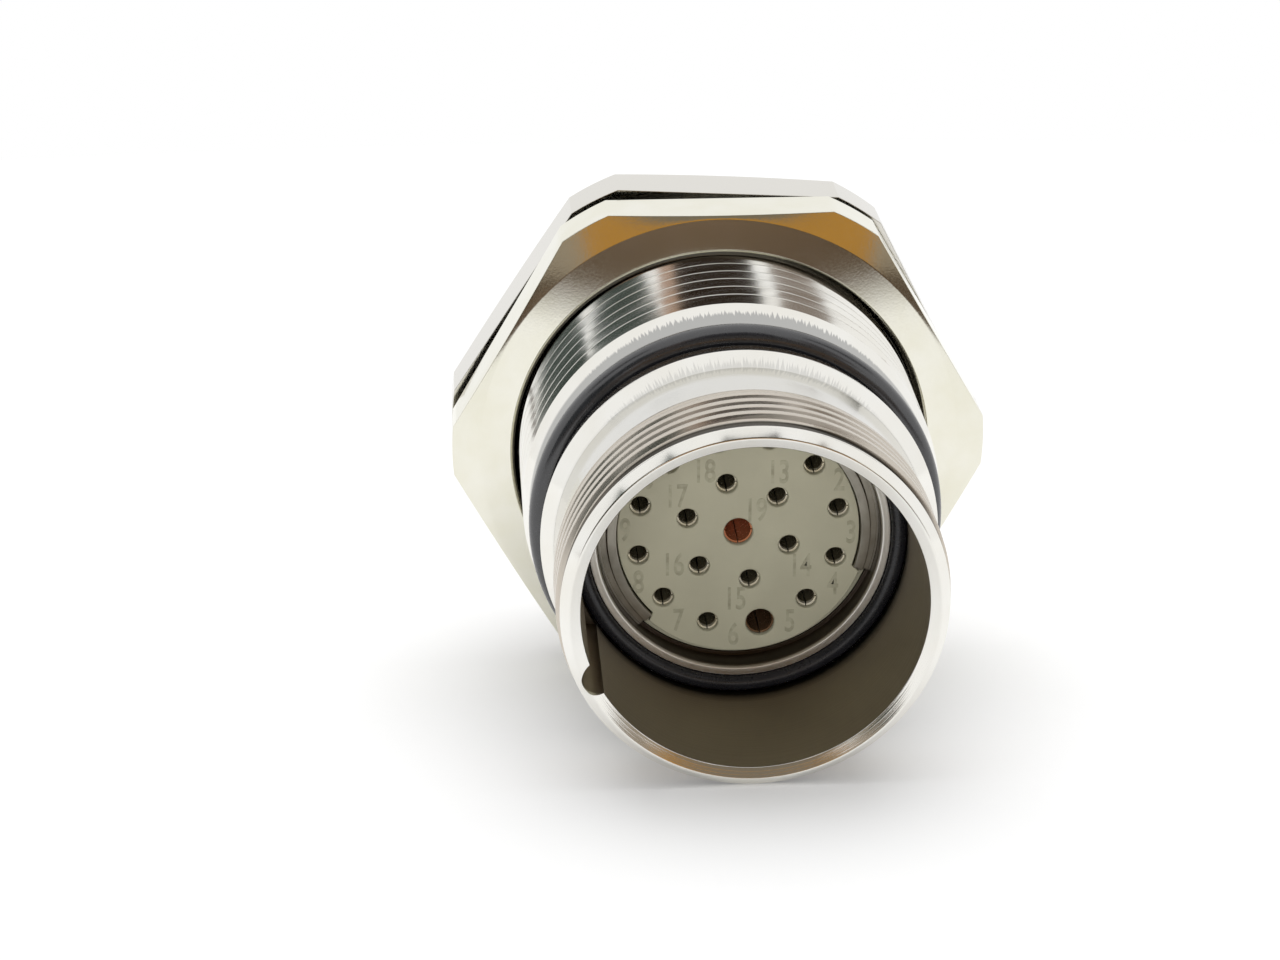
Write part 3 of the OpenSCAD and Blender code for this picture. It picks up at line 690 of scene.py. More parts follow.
def bright_nickel(finishes, shell):
    """Bright plate over fine turning marks, rougher on the coupling thread and inside the mouth, darker
    and browner on the coupling thread, with painted shade inside the mouth, in the relief groove and in
    a band beside the coupling seal and on the neck.
    """
    finish = Finish("bright nickel", Metallic=1.0)
    radius, station, turned = finish.lathe_place()
    soft = shell.edge_round
    floor, chamfer_back, sleeve_front = shell.relief_radius, shell.chamfer_back, shell.sleeve_front
    outside = finish.math("MAXIMUM", finish.ramp(radius, floor - 3 * soft, floor - soft),
                          finish.ramp(station, chamfer_back - soft, chamfer_back))
    sleeve_rim = finish.between(station, sleeve_front - 2 * soft, sleeve_front + soft, soft)
    in_front = finish.ramp(station, shell.ledge_back - soft, shell.ledge_back + soft)
    # Painted shade over the mouth's inside.
    inside = finish.times(finish.without(outside), finish.without(sleeve_rim))
    inside = finish.times(inside, in_front)
    behind = finish.ramp(station, 0, soft, low=1, high=0)
    # The coupling thread: darker, browner and rougher plate.
    worn = finish.times(finish.between(station, shell.coupling_back, shell.relief_front, soft), outside)
    # Painted shade in the relief groove in front of the coupling thread.
    relief_groove_shade = finish.times(
        finish.between(station, shell.coupling_front - 3 * soft, shell.relief_front, soft),
        finish.between(radius, floor - soft, shell.coupling_radius - 2 * soft, soft))
    # Painted shade in the band beside the coupling seal and on the neck.
    film = finish.times(oil_film(finish, finishes, shell, station, turned), outside)
    # Painted shadow of the face seal, darkest where the mating bore ends and fading forward over the
    # sleeve step.
    oiled = finish.ramp(station, shell.bore_end, shell.bore_end + shell.sleeve_step,
                        low=finishes.bore_oil, high=0)
    bore = finish.mix(oiled, finishes.bore, finishes.grime)
    # Inside the sleeve the painted shade is darker still.
    depth = finish.ramp(station, sleeve_front - soft, sleeve_front)
    plate = finish.mottle(finishes.nickel, finishes.nickel_warm, scale=260)
    for where, colour in (
            (film, finishes.film),
            (behind, finishes.nickel_dull),
            (worn, finishes.nickel_worn),
            (relief_groove_shade, finishes.grime),
            (inside, finish.mix(depth, finishes.bore_deep, bore))):
        plate = finish.mix(where, plate, colour)
    lines = finish.noise(scale=9000, detail=4.0, along=finish.math("ADD", radius, station))
    gloss = finish.ramp(outside, 0, 1, low=finishes.bore_gloss, high=finishes.nickel_gloss)
    gloss = finish.math("ADD", gloss, finish.times(worn, finishes.worn_gloss - finishes.nickel_gloss))
    uneven = finish.spread(lines, low=0.75, high=1.3)
    finish.shade(Base_Color=plate, Roughness=finish.times(gloss, uneven))
    on_rim = finish.ramp(station, chamfer_back - 2 * soft, chamfer_back, low=0.25, high=1)
    finish.bump(lines, depth=0.006 * MM, strength=on_rim)
    return finish.material


def oil_film(finish, finishes, shell, station, turned):
    """Share of painted shade in a band on the cone beside the coupling seal and on the neck, ragged
    near the top.
    """
    near_top = finish.ramp(finish.math("ABSOLUTE", turned), shell.film_top, shell.film_side,
                           low=1, high=0)
    lines = finish.noise(scale=75, detail=2.0, along=turned)
    ragged = finish.spread(lines, low=0, high=shell.film_ragged)
    edge = finish.math("ADD", station, finish.times(ragged, near_top))
    soft = 2 * shell.edge_round
    cone = finish.between(edge, shell.groove_back - shell.film_width,
                          shell.groove_back + shell.film_width, soft)
    neck = finish.between(edge, shell.slope_front, shell.coupling_back + shell.film_ragged, soft)
    return finish.math("ADD", finish.times(cone, finishes.film_on_cone),
                       finish.times(neck, finishes.film_on_neck))


def satin_nickel(finishes, shell):
    """Satin plate with a fine grain, as left by barrel plating, and painted shade in the bore."""
    finish = Finish("satin nickel", Metallic=1.0)
    radius, _, _ = finish.lathe_place()
    soft, sink, gloss = shell.edge_round, shell.sink_radius, finishes.satin_gloss
    # Painted shade over the nut's bore and countersink.
    painted_bore_shade = finish.ramp(radius, sink - 3 * soft, sink - soft, low=1, high=0)
    plate = finish.mottle(finishes.satin, finishes.satin_warm, scale=420)
    finish.shade(Base_Color=finish.mix(painted_bore_shade, plate, finishes.grime))
    grain = finish.noise(scale=7000, detail=5.0)
    finish.roughen(grain, low=0.8 * gloss, high=1.3 * gloss, depth=0.0018 * MM)
    return finish.material


def ring_nickel(finishes):
    """Dull plate on bent spring wire."""
    finish = Finish("ring nickel", Metallic=1.0)
    radius, station, _ = finish.lathe_place()
    finish.shade(Base_Color=finish.mottle(finishes.ring, finishes.ring_dark, scale=700))
    lines = finish.noise(scale=8000, along=finish.math("ADD", radius, station))
    finish.roughen(lines, low=0.24, high=0.4, depth=0.003 * MM)
    return finish.material


def black_rubber(finishes, name, oil=0.0):
    """Moulded rubber with a faint bloom, plain or under a film of oil."""
    finish = Finish(name, Coat_Weight=oil, Coat_IOR=2.4, Coat_Roughness=0.14)
    finish.shade(Base_Color=finish.mottle(finishes.rubber, finishes.rubber_worn, scale=500))
    finish.roughen(finish.noise(scale=3000, detail=4.0), low=0.24, high=0.34, depth=0.003 * MM)
    return finish.material


def beige_plastic(finishes):
    """Filled plastic with faint flow marks and a dry surface."""
    finish = Finish("beige plastic")
    colour = finish.mottle(finishes.plastic, finishes.plastic_dark, scale=350, detail=5.0)
    finish.shade(Base_Color=colour)
    finish.roughen(finish.noise(scale=4200, detail=5.0), low=0.42, high=0.58, depth=0.004 * MM)
    return finish.material


def number_paint(finishes):
    """Faint grey numbers, a little uneven."""
    finish = Finish("number grey")
    finish.shade(Base_Color=finish.mottle(finishes.number, finishes.plastic_dark, scale=2500),
                 Roughness=finish.spread(finish.noise(scale=6000), low=0.5, high=0.65))
    return finish.material


def contact_plate(name, metallic, colour, patches, socket):
    """Contact metal with uneven plate, and another colour behind the socket's mouth, which is painted
    shade on the gold and bronze contacts.
    """
    finish = Finish(name, Metallic=metallic)
    _, station, _ = finish.lathe_place()
    front = front_of(CONTACTS[0])
    socket_back, socket_front, soft = front - 4 * MM, front - 0.3 * MM, 0.1 * MM
    # Painted shade behind the socket's mouth.
    inside = finish.between(station, socket_back, socket_front, soft)
    plate = finish.mottle(colour, patches, scale=900)
    gloss = finish.spread(finish.noise(scale=6000, detail=4.0), low=0.16, high=0.3)
    finish.shade(Base_Color=finish.mix(inside, plate, socket), Roughness=gloss)
    finish.bump(finish.noise(scale=5000), depth=0.003 * MM)
    return finish.material


# Pieces

class RECEPTACLE_OT_shell(bpy.types.Operator):
    """Turn the shell, cut its threads, flange and keyway"""
    bl_idname = "receptacle.shell"
    bl_label = "Shell"

    def execute(self, context):
        sizes = context.scene.receptacle_shell
        bm = bmesh.new()
        lead_back, flange_end = self.turn_outside(bm, sizes)
        cut_hexagon(bm, sizes, face=-sizes.flange_depth, inward=1, first_flat=TOP + sizes.flange_turn)
        bmesh.ops.recalc_face_normals(bm, faces=bm.faces)
        break_edges(bm, sizes.edge_round)
        gap = 2 * sizes.edge_round
        cut_thread(bm, sizes.columns,
                   (sizes.panel_radius, sizes.panel_pitch, sizes.panel_depth, sizes.panel_crest,
                    sizes.panel_root),
                   ends=(flange_end + gap, lead_back - gap),
                   end_radii=(sizes.panel_radius, sizes.panel_radius - sizes.panel_depth),
                   runs=(sizes.panel_pitch, sizes.panel_pitch / 4), edge=sizes.panel_edge)
        cut_thread(bm, sizes.columns,
                   (sizes.coupling_radius, sizes.coupling_pitch, sizes.coupling_depth,
                    sizes.coupling_crest, sizes.coupling_root),
                   ends=(sizes.coupling_back + gap, sizes.coupling_front - gap),
                   end_radii=(sizes.neck_radius, sizes.relief_radius),
                   runs=(sizes.coupling_pitch / 2, 3 * sizes.edge_round), edge=sizes.coupling_edge)
        for station, side in ((flange_end, 1), (lead_back, -1), (sizes.coupling_back, 1),
                              (sizes.coupling_front, -1)):
            bridge_gap(bm, *sorted((station, station + side * gap)))
        bm = carve(bm, self.keyway(sizes))
        make_piece(bm, "turned_shell", bright_nickel(context.scene.receptacle_finishes, sizes),
                   "receptacle", "shell_nickel", "shell")
        return {"FINISHED"}

    def turn_outside(self, bm, sizes):
        """Turn all but the threads, and return the stations of the panel thread's two ends."""
        section = front_of("coupling_seal") - sizes.seal_back
        groove_floor = reach_of("coupling_seal") - section - sizes.seal_clear
        lead_back = sizes.groove_back - sizes.panel_lead_length
        lip_radius = sizes.coupling_radius + sizes.lip_rise
        collar_radius = sizes.coupling_radius - sizes.collar_drop
        rim_inner = sizes.mating_radius + sizes.rim_inner_width
        flange_end = 2 * sizes.edge_round
        turn(bm, draw_profile(bm, [
            (sizes.panel_radius, lead_back),
            (sizes.panel_radius - sizes.panel_lead, sizes.groove_back),
            (groove_floor, sizes.groove_back),
            (groove_floor, sizes.groove_front),
            (lip_radius - sizes.lip_taper, sizes.groove_front),
            (lip_radius, sizes.groove_front + sizes.lip_length),
            (sizes.neck_radius, sizes.slope_front),
            (sizes.neck_radius, sizes.coupling_back),
        ]), sizes.columns)
        turn(bm, draw_profile(bm, [
            (sizes.relief_radius, sizes.coupling_front),
            (sizes.relief_radius, sizes.relief_front),
            (collar_radius, sizes.relief_front),
            (collar_radius, sizes.relief_front + sizes.collar_width),
            (rim_inner + sizes.rim_flat, sizes.rim_front),
            (rim_inner, sizes.rim_front),
            (sizes.mating_radius, sizes.chamfer_back),
            (sizes.mating_radius, sizes.bore_end),
            *self.inside(sizes),
            (sizes.rear_bore, sizes.rear_end),
            (sizes.rear_radius - sizes.rear_chamfer, sizes.rear_end),
            (sizes.rear_radius, sizes.rear_end + sizes.rear_chamfer),
            (sizes.rear_radius, -sizes.flange_depth),
            (sizes.land_radius, -sizes.flange_depth),
            (sizes.corner_radius, sizes.corner_chamfer - sizes.flange_depth),
            (sizes.corner_radius, 0),
            (sizes.panel_radius, 0),
            (sizes.panel_radius, flange_end),
        ]), sizes.columns)
        return lead_back, flange_end

    def inside(self, sizes):
        """Corners of the bore from the face seal's groove back to the rear bore."""
        seal_back, seal_front = back_of("face_seal"), front_of("face_seal")
        groove_out = reach_of("face_seal") + sizes.seal_clear
        groove_in = reach_of("face_seal") - (seal_front - seal_back) - sizes.seal_clear
        sleeve = groove_in - sizes.sleeve_wall
        sleeve_front = sizes.sleeve_front
        ring_groove = reach_of("retaining_ring") + sizes.insert_clear
        ring_front = front_of("insert_front") + sizes.insert_clear
        ring_back = back_of("retaining_ring") - sizes.insert_clear
        return [
            (groove_out, sizes.bore_end),
            (groove_out, seal_back),
            (groove_in, seal_back),
            (groove_in, sleeve_front),
            (sleeve + sizes.sleeve_chamfer, sleeve_front),
            (sleeve, sleeve_front - sizes.sleeve_chamfer),
            (sleeve, ring_front),
            (ring_groove, ring_front),
            (ring_groove, ring_back),
            (sleeve, ring_back),
            (sleeve, sizes.ledge_front),
            (sizes.ledge_radius, sizes.ledge_front),
            (sizes.ledge_radius, sizes.ledge_back),
            (sizes.rear_bore, sizes.ledge_back),
        ]

    def keyway(self, sizes):
        """The round bar that cuts the keyway along the mating bore."""
        tool = bmesh.new()
        long = sizes.rim_front + OVERRUN - sizes.bore_end
        middle = at(sizes.keyway_centre, sizes.bore_end + long / 2, sizes.keyway_angle)
        bmesh.ops.create_cone(tool, cap_ends=True, segments=64, radius1=sizes.keyway_radius,
                              radius2=sizes.keyway_radius, depth=long,
                              matrix=Matrix.Translation(middle) @ Matrix.Rotation(pi / 2, 4, "X"))
        return tool


class RECEPTACLE_OT_nut(bpy.types.Operator):
    """Turn the hexagonal panel nut"""
    bl_idname = "receptacle.nut"
    bl_label = "Panel nut"

    def execute(self, context):
        sizes = context.scene.receptacle_shell
        back, front = back_of("panel_nut"), front_of("panel_nut")
        land, sink = sizes.land_radius, sizes.sink_radius
        land_edge = front - (land - sink) * tan(sizes.land_slope)
        bm = bmesh.new()
        turn(bm, draw_profile(bm, [
            (sink, back),
            (sizes.corner_radius, back),
            (sizes.corner_radius, land_edge - sizes.corner_chamfer),
            (land, land_edge),
            (sink, front),
            (sizes.nut_bore, front - sizes.nut_countersink),
            (sizes.nut_bore, back + sizes.nut_countersink),
        ], closed=True), sizes.columns)
        cut_hexagon(bm, sizes, face=land_edge, inward=-1, first_flat=TOP)
        break_edges(bm, sizes.edge_round)
        make_piece(bm, "hexagon_nut", satin_nickel(context.scene.receptacle_finishes, sizes),
                   "nut", "nut_nickel", "panel_nut")
        return {"FINISHED"}


class RECEPTACLE_OT_seals(bpy.types.Operator):
    """Mould the two round seals and the flat gasket"""
    bl_idname = "receptacle.seals"
    bl_label = "Seals"

    def execute(self, context):
        sizes = context.scene.receptacle_shell
        finishes = context.scene.receptacle_finishes
        rubber = black_rubber(finishes, "black rubber")
        oiled = black_rubber(finishes, "oiled rubber", finishes.seal_oil)
        self.round_seal(sizes, oiled, "coupling_seal", sizes.seal_stretch)
        self.round_seal(sizes, rubber, "face_seal", 0)
        bm = bmesh.new()
        edge, back, front = reach_of("panel_gasket"), back_of("panel_gasket"), front_of("panel_gasket")
        turn(bm, draw_profile(bm, [(sizes.nut_bore, back), (edge, back), (edge, front),
                                   (sizes.nut_bore, front)], closed=True), sizes.columns)
        break_edges(bm, sizes.gasket_round)
        make_piece(bm, "flat_gasket", rubber, "receptacle", "gasket_rubber", "panel_gasket")
        return {"FINISHED"}

    def round_seal(self, sizes, rubber, node, stretch):
        """A ring of round section, made slimmer by its stretch."""
        section = (front_of(node) - back_of(node) - stretch) / 2
        bm = bmesh.new()
        middle = at(reach_of(node) - section, front_of(node) - section)
        bmesh.ops.create_circle(bm, cap_ends=False, segments=32, radius=section,
                                matrix=Matrix.Translation(middle))
        turn(bm, bm.verts[:] + bm.edges[:], sizes.columns)
        make_piece(bm, f"{node}_ring", rubber, "receptacle", "seal_rubber", node)


class RECEPTACLE_OT_retaining_ring(bpy.types.Operator):
    """Form the open ring that holds the insert"""
    bl_idname = "receptacle.retaining_ring"
    bl_label = "Retaining ring"

    def execute(self, context):
        shell, sizes = context.scene.receptacle_shell, context.scene.receptacle_insert
        reach, back = reach_of("retaining_ring"), back_of("retaining_ring")
        front, face = front_of("retaining_ring"), front_of("insert_front")
        bm = bmesh.new()
        profile = draw_profile(bm, [(sizes.ring_bore, back), (reach, back), (reach, face),
                                    (sizes.ring_step, face), (sizes.ring_step, front),
                                    (sizes.ring_bore, front)], closed=True)
        profile += bmesh.ops.contextual_create(bm, geom=profile)["faces"]
        turn(bm, profile, shell.columns, angle=FULL_TURN - sizes.ring_gap)
        start = Matrix.Rotation(sizes.key_angle + sizes.ring_gap / 2, 3, FORWARD)
        bmesh.ops.rotate(bm, cent=(0, 0, 0), matrix=start, verts=bm.verts)
        break_edges(bm, shell.edge_round)
        make_piece(bm, "open_ring", ring_nickel(context.scene.receptacle_finishes),
                   "receptacle", "ring_nickel", "retaining_ring")
        return {"FINISHED"}


def contact_middle(node):
    """Place of a contact's axis, right and up."""
    low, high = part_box(node)
    return Vector(((low.x + high.x) / 2, 0, (low.z + high.z) / 2))


def contact_width(node):
    """Diameter of a contact's collar."""
    low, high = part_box(node)
    return high.x - low.x


def contact_size(sizes, node, part):
    """Radius of one part of a small or large contact."""
    kind = "large" if contact_width(node) > sizes.large_collar else "small"
    return getattr(sizes, f"{kind}_{part}") / 2


class RECEPTACLE_OT_insert(bpy.types.Operator):
    """Mould the two halves of the insert with their contact holes, and raise the numbers"""
    bl_idname = "receptacle.insert"
    bl_label = "Insert"
    hole_columns = 40

    def execute(self, context):
        shell, sizes = context.scene.receptacle_shell, context.scene.receptacle_insert
        finishes = context.scene.receptacle_finishes
        plastic = beige_plastic(finishes)
        self.front_half(shell, sizes, plastic)
        self.rear_half(shell, sizes, plastic)
        self.numbers(sizes, number_paint(finishes))
        return {"FINISHED"}

    def front_half(self, shell, sizes, plastic):
        """The half that shows in the mouth, with the key that fills the ring's opening."""
        edge, split = reach_of("insert_front"), back_of("insert_front")
        face, shoulder = front_of("insert_front"), back_of("retaining_ring")
        bm = bmesh.new()
        turn(bm, draw_profile(bm, [(0, split), (edge, split), (edge, shoulder),
                                   (sizes.neck_radius, shoulder), (sizes.neck_radius, face),
                                   (0, face)]), shell.columns)
        for vert in bm.verts:
            from_key = (angle_of(vert) - sizes.key_angle + pi) % FULL_TURN - pi
            on_neck = abs(radius_of(vert) - sizes.neck_radius) < MERGE_DISTANCE
            if on_neck and abs(from_key) < sizes.key_span / 2:
                vert.co = at(sizes.key_radius, -vert.co.y, angle_of(vert))
        break_edges(bm, sizes.plastic_round)
        gap, chamfer = sizes.contact_clear, sizes.hole_chamfer
        holes = bmesh.new()
        for node in CONTACTS:
            collar = contact_width(node) / 2 + gap
            socket = contact_size(sizes, node, "socket") + gap
            entry = contact_size(sizes, node, "entry")
            collar_front = split + sizes.collar_length
            entry_back = face - sizes.entry_wall
            self.add_hole(holes, node, [
                (0, split - OVERRUN), (collar, split - OVERRUN), (collar, collar_front),
                (socket, collar_front), (socket, entry_back), (entry, entry_back),
                (entry, face - chamfer), (entry + chamfer + OVERRUN, face + OVERRUN),
                (0, face + OVERRUN)])
        make_piece(carve(bm, holes), "insert_face", plastic, "receptacle", "insert_plastic",
                   "insert_front")

    def rear_half(self, shell, sizes, plastic):
        """The half with the spigot that the solder cups come out of."""
        edge, split, end = reach_of("insert_rear"), front_of("insert_rear"), back_of("insert_rear")
        bm = bmesh.new()
        turn(bm, draw_profile(bm, [(0, end), (sizes.spigot_radius, end),
                                   (sizes.spigot_radius, shell.ledge_front),
                                   (edge, shell.ledge_front), (edge, split), (0, split)]),
             shell.columns)
        break_edges(bm, sizes.plastic_round)
        holes = bmesh.new()
        for node in CONTACTS:
            cup = contact_size(sizes, node, "cup") + sizes.contact_clear
            self.add_hole(holes, node, [(0, end - OVERRUN), (cup, end - OVERRUN),
                                        (cup, split + OVERRUN), (0, split + OVERRUN)])
        make_piece(carve(bm, holes), "insert_spigot", plastic, "receptacle", "insert_plastic",
                   "insert_rear")

    def add_hole(self, holes, node, corners):
        """Add the shape of one contact's hole."""
        hole = bmesh.new()
        turn(hole, draw_profile(hole, corners), self.hole_columns)
        bmesh.ops.translate(hole, vec=contact_middle(node), verts=hole.verts)
        add_mesh(holes, hole)

    def numbers(self, sizes, paint):
        """Raise each contact's number beside its hole."""
        bm = bmesh.new()
        for number, node in enumerate(CONTACTS, 1):
            right, up = self.number_place(sizes, number, node)
            add_mesh(bm, self.number_shape(sizes, number, Vector((right, 0, up))))
        place_piece("contact_numbers", store(bm, "contact_numbers", paint), "receptacle",
                    "insert_plastic")

    def number_place(self, sizes, number, node):
        """Where a number stands: clockwise of its hole, but anticlockwise at the inner ring's ends."""
        outer_count, inner_count = 12, 6
        if number > outer_count + inner_count:
            return sizes.centre_number
        middle = contact_middle(node)
        outer = number <= outer_count
        at_end = number in (outer_count + 1, outer_count + inner_count)
        angle = atan2(middle.z, middle.x) + (sizes.number_step if at_end else -sizes.number_step)
        radius = sizes.outer_number_radius if outer else sizes.inner_number_radius
        return radius * cos(angle), radius * sin(angle)

    def number_shape(self, sizes, number, place):
        """A raised number whose middle stands at a place on the insert's face."""
        curve = bpy.data.curves.new("number", "FONT")
        curve.body = str(number)
        curve.align_x, curve.align_y = "CENTER", "CENTER"
        cap_height = 0.72
        curve.size = sizes.number_height / cap_height
        curve.extrude = sizes.number_relief
        curve.offset = sizes.number_stroke
        text = show("number", curve)
        shape = bmesh.new()
        mesh = text.evaluated_get(bpy.context.evaluated_depsgraph_get()).to_mesh()
        shape.from_mesh(mesh)
        bpy.data.objects.remove(text)
        bpy.data.curves.remove(curve)
        bmesh.ops.remove_doubles(shape, verts=shape.verts, dist=MERGE_DISTANCE)
        bmesh.ops.scale(shape, vec=(sizes.number_squeeze, 1, 1), verts=shape.verts)
        bmesh.ops.rotate(shape, cent=(0, 0, 0), matrix=Matrix.Rotation(pi / 2, 3, "X"),
                         verts=shape.verts)
        bmesh.ops.translate(shape, vec=place + at(0, front_of("insert_front")), verts=shape.verts)
        return shape


class RECEPTACLE_OT_contacts(bpy.types.Operator):
    """Turn the socket contacts, slot their sockets and open their solder cups"""
    bl_idname = "receptacle.contacts"
    bl_label = "Contacts"
    columns = 48
    key_contact = 6

    def execute(self, context):
        sizes, finishes = context.scene.receptacle_insert, context.scene.receptacle_finishes
        gold = contact_plate("contact gold", finishes.gold_metal, finishes.gold,
                             finishes.gold_pale, finishes.gold_deep)
        bronze = contact_plate("contact bronze", finishes.bare_metal, finishes.bronze,
                               finishes.bronze_dark, finishes.bronze_dark)
        copper = contact_plate("contact copper", finishes.bare_metal, finishes.copper,
                               finishes.copper_dark, finishes.copper)
        plates = {CONTACTS[self.key_contact - 1]: bronze, CONTACTS[-1]: copper}
        for node in CONTACTS:
            bm = carve(self.turned(sizes, node), self.openings(sizes, node))
            bmesh.ops.translate(bm, vec=contact_middle(node), verts=bm.verts)
            make_piece(bm, f"socket_{node}", plates.get(node, gold), "receptacle", "contact_gold",
                       node)
        return {"FINISHED"}

    def turned(self, sizes, node):
        """The turned contact, round the shell's axis."""
        front, back, split = front_of(node), back_of(node), back_of("insert_front")
        bore, socket = (contact_size(sizes, node, part) for part in ("bore", "socket"))
        cup, cup_bore = (contact_size(sizes, node, part) for part in ("cup", "cup_bore"))
        collar = contact_width(node) / 2
        collar_front = split + sizes.collar_length
        bm = bmesh.new()
        turn(bm, draw_profile(bm, [
            (0, front - sizes.socket_depth), (bore, front - sizes.socket_depth), (bore, front),
            (socket, front), (socket, collar_front), (collar, collar_front), (collar, split),
            (cup, split), (cup, back), (cup_bore, back), (cup_bore, back + sizes.cup_bore_depth),
            (0, back + sizes.cup_bore_depth)]), self.columns)
        break_edges(bm, sizes.contact_round)
        return bm

    def openings(self, sizes, node):
        """The crossed slots of the socket and the open side of the solder cup."""
        front, back, width = front_of(node), back_of(node), contact_width(node)
        tool = bmesh.new()
        slot_long = sizes.slot_length + OVERRUN
        slot_middle = at(0, front - sizes.slot_length + slot_long / 2)
        add_block(tool, (2 * width, slot_long, sizes.slot_width), slot_middle)
        add_block(tool, (sizes.slot_width, slot_long, 2 * width), slot_middle)
        cup_long = sizes.cup_cut + OVERRUN
        add_block(tool, (2 * width, cup_long, width),
                  at(0, back - OVERRUN + cup_long / 2) + Vector((0, 0, width / 2)))
        return tool


class RECEPTACLE_OT_stage(bpy.types.Operator):
    """Set the camera, the floor, the world, the lamps and the cards that the metal reflects"""
    bl_idname = "receptacle.stage"
    bl_label = "Stage"

    def execute(self, context):
        stage = context.scene.receptacle_stage
        context.scene.view_settings.view_transform = "Standard"
        self.camera(context, stage)
        self.floor(context, stage)
        self.world(context, stage)
        self.lamps(stage)
        self.cards(stage)
        return {"FINISHED"}

    def camera(self, context, stage):
        """Stand the camera where the view is taken from."""
        camera = show("camera", bpy.data.cameras.new("camera"))
        camera.data.lens = stage.lens
        camera.data.sensor_width = stage.sensor
        camera.data.clip_start = 10 * MM
        camera.location = stage.camera_place
        camera.rotation_mode = "QUATERNION"
        camera.rotation_quaternion = Vector(stage.camera_aim).to_track_quat("-Z", "Y")
        context.scene.camera = camera

    def resting_line(self, context):
        """The two points under the coupling thread and under the nut that the receptacle lies on."""
        shell = context.scene.receptacle_shell
        thread = Vector((0, -shell.coupling_front, -shell.coupling_radius))
        nut = Vector((0, -front_of("panel_nut"), -shell.flat_radius))
        return thread, nut

    def floor(self, context, stage):
        """Lay a sheet under the receptacle that fades to plain white with distance.

        Where the sheet ends in front, the metal mirrors the dark top of a bench.
        """
        thread, nut = self.resting_line(context)
        tilt = atan2(thread.z - nut.z, nut.y - thread.y)
        bm = bmesh.new()
        place = Matrix.Translation(thread) @ Matrix.Rotation(-tilt, 4, "X")
        bmesh.ops.create_circle(bm, cap_ends=True, segments=96, radius=stage.floor_size / 2,
                                matrix=place)
        finish = Finish("pale floor", Roughness=0.6, Specular_IOR_Level=0.1,
                        Emission_Color=(1, 1, 1, 1))
        worn = [part * stage.floor_wear for part in stage.floor_colour]
        paper = finish.mottle(stage.floor_colour, worn, scale=30)
        seen = self.seen(finish.tree)
        far = finish.ramp(finish.distance(finish.place), stage.fade_start, stage.fade_end)
        far = finish.times(far, seen)
        _, station, _ = finish.lathe_place()
        beyond = finish.ramp(station, stage.sheet_front * (1 - stage.sheet_blur),
                             stage.sheet_front * (1 + stage.sheet_blur))
        mirrored = finish.add("ShaderNodeLightPath").outputs["Is Glossy Ray"]
        beyond = finish.times(beyond, mirrored)
        sheet = finish.mix(far, paper, (0, 0, 0))
        lift = finish.times(seen, finish.ramp(far, 0, 1, low=stage.floor_lift, high=1))
        finish.shade(Base_Color=finish.mix(beyond, sheet, stage.bench_edge),
                     Emission_Strength=finish.times(lift, finish.without(beyond)))
        show("floor", store(bm, "floor", finish.material))

    def world(self, context, stage):
        """A white room that the camera and the metal see, and a weaker fill on matt surfaces."""
        world = bpy.data.worlds.new("white room")
        world.use_nodes = True
        tree = world.node_tree
        background = tree.nodes["Background"]
        background.inputs["Color"].default_value = (1, 1, 1, 1)
        strength = tree.nodes.new("ShaderNodeMapRange")
        strength.inputs["To Min"].default_value = stage.world_fill
        strength.inputs["To Max"].default_value = 1
        tree.links.new(self.seen(tree), strength.inputs["Value"])
        tree.links.new(strength.outputs[0], background.inputs["Strength"])
        context.scene.world = world

    def seen(self, tree):
        """One for what the camera sees, straight, mirrored or through glass, and nought otherwise."""
        rays = tree.nodes.new("ShaderNodeLightPath").outputs
        seen = rays["Is Camera Ray"]
        for kind in ("Is Glossy Ray", "Is Transmission Ray"):
            either = tree.nodes.new("ShaderNodeMath")
            either.operation = "MAXIMUM"
            tree.links.new(seen, either.inputs[0])
            tree.links.new(rays[kind], either.inputs[1])
            seen = either.outputs[0]
        return seen

    def lamps(self, stage):
        """Hang the softbox over the receptacle, and light the mouth's inside from the front."""
        self.lamp("softbox", stage.softbox_power, stage.softbox_size,
                  Vector((0, stage.softbox_setback, stage.softbox_height)))
        self.lamp("front_lamp", stage.front_power, stage.front_size,
                  Vector(stage.camera_place) - Vector((0, 0, stage.front_drop)))

    def lamp(self, name, power, size, place):
        """Aim a square lamp at the receptacle. The metal mirrors the room in its stead."""
        light = bpy.data.lights.new(name, "AREA")
        light.energy = power
        light.shape = "SQUARE"
        light.size = size
        lamp = show(name, light)
        lamp.location = place
        lamp.rotation_mode = "QUATERNION"
        lamp.rotation_quaternion = (-place).to_track_quat("-Z", "Y")
        lamp.visible_glossy = False

    def cards(self, stage):
        """Stand the cards that only the metal sees, by the degrees across and up that they fill."""
        for name, colour, across, height in (
                ("room card", stage.room, (-66, -27), (-6, 27)),
                ("upper room card", stage.room, (-52, -27), (27, 48)),
                ("timber card", stage.timber, (-27, -19), (20, 56)),
                ("shade card", stage.shade, (-19, 28), (36, 62)),
                ("shelf card", stage.shelf, (36, 54), (25, 50)),
                ("wall card", stage.wall, (-19, 36), (13, 36)),
                ("right curtain card", stage.curtain, (84, 106), (30, 58)),
                ("left curtain card", stage.curtain, (-106, -84), (30, 58)),
                ("bench card", stage.bench, (-16, 28), (1, 13)),
                ("left bench card", stage.bench_side, (-27, -16), (1, 13)),
                ("right bench card", stage.bench_side, (28, 50), (1, 13))):
            self.card(stage, name, colour, across, height)

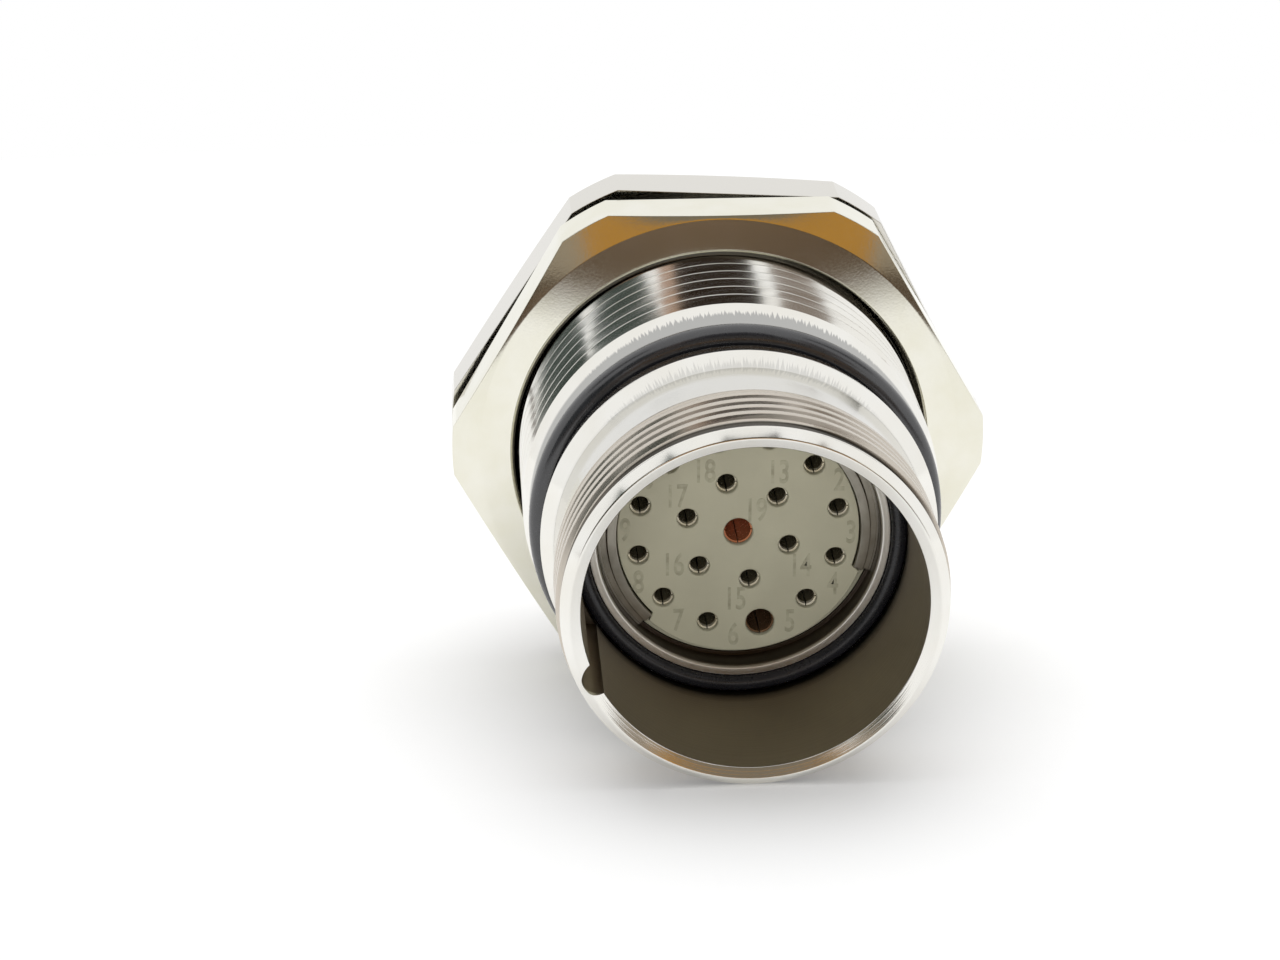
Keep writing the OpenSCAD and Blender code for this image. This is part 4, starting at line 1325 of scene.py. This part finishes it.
    def card(self, stage, name, colour, across, height):
        """Stand one card. Nought degrees across and up is the way that the mouth looks."""
        bm = bmesh.new()
        half = 0.5
        bmesh.ops.create_grid(bm, x_segments=12, y_segments=6, size=half)
        for vert in bm.verts:
            azimuth = radians(across[0] + (across[1] - across[0]) * (vert.co.x + half))
            rise = radians(height[0] + (height[1] - height[0]) * (vert.co.y + half))
            way = Vector((sin(azimuth) * cos(rise), -cos(azimuth) * cos(rise), sin(rise)))
            vert.co = Vector(stage.card_centre) + way * stage.card_distance
        finish = Finish(name, Roughness=1.0, Specular_IOR_Level=0.0, Base_Color=(0, 0, 0, 1),
                        Emission_Color=(*colour, 1), Emission_Strength=1.0)
        card_name = name.replace(" ", "_")
        card = show(card_name, store(bm, card_name, finish.material))
        for ray in ("camera", "diffuse", "shadow", "transmission"):
            setattr(card, f"visible_{ray}", False)


class RECEPTACLE_PT_panel(bpy.types.Panel):
    """Sizes, finishes and build steps of the receptacle"""
    bl_label = "Receptacle"
    bl_idname = "RECEPTACLE_PT_panel"
    bl_space_type = "VIEW_3D"
    bl_region_type = "UI"
    bl_category = "Receptacle"

    def draw(self, context):
        for operator in OPERATORS:
            self.layout.operator(operator.bl_idname)
        for name, group in GROUPS.items():
            box = self.layout.box()
            box.label(text=group.__doc__)
            for setting in group.__annotations__:
                box.prop(getattr(context.scene, name), setting)


GROUPS = {
    "receptacle_shell": ShellSizes,
    "receptacle_insert": InsertSizes,
    "receptacle_finishes": Finishes,
    "receptacle_stage": StageSettings,
}
OPERATORS = (
    RECEPTACLE_OT_shell,
    RECEPTACLE_OT_nut,
    RECEPTACLE_OT_seals,
    RECEPTACLE_OT_retaining_ring,
    RECEPTACLE_OT_insert,
    RECEPTACLE_OT_contacts,
    RECEPTACLE_OT_stage,
)


def register():
    """Register the settings, the build steps and the panel."""
    for name, group in GROUPS.items():
        bpy.utils.register_class(group)
        setattr(bpy.types.Scene, name, PointerProperty(type=group))
    for kind in (*OPERATORS, RECEPTACLE_PT_panel):
        bpy.utils.register_class(kind)


def unregister():
    """Take the settings, the build steps and the panel away again."""
    for kind in (RECEPTACLE_PT_panel, *reversed(OPERATORS)):
        bpy.utils.unregister_class(kind)
    for name, group in GROUPS.items():
        delattr(bpy.types.Scene, name)
        bpy.utils.unregister_class(group)


def main():
    """Build every piece and the stage."""
    register()
    for operator in OPERATORS:
        getattr(bpy.ops.receptacle, operator.bl_idname.split(".")[1])()


if __name__ == "__main__":
    main()
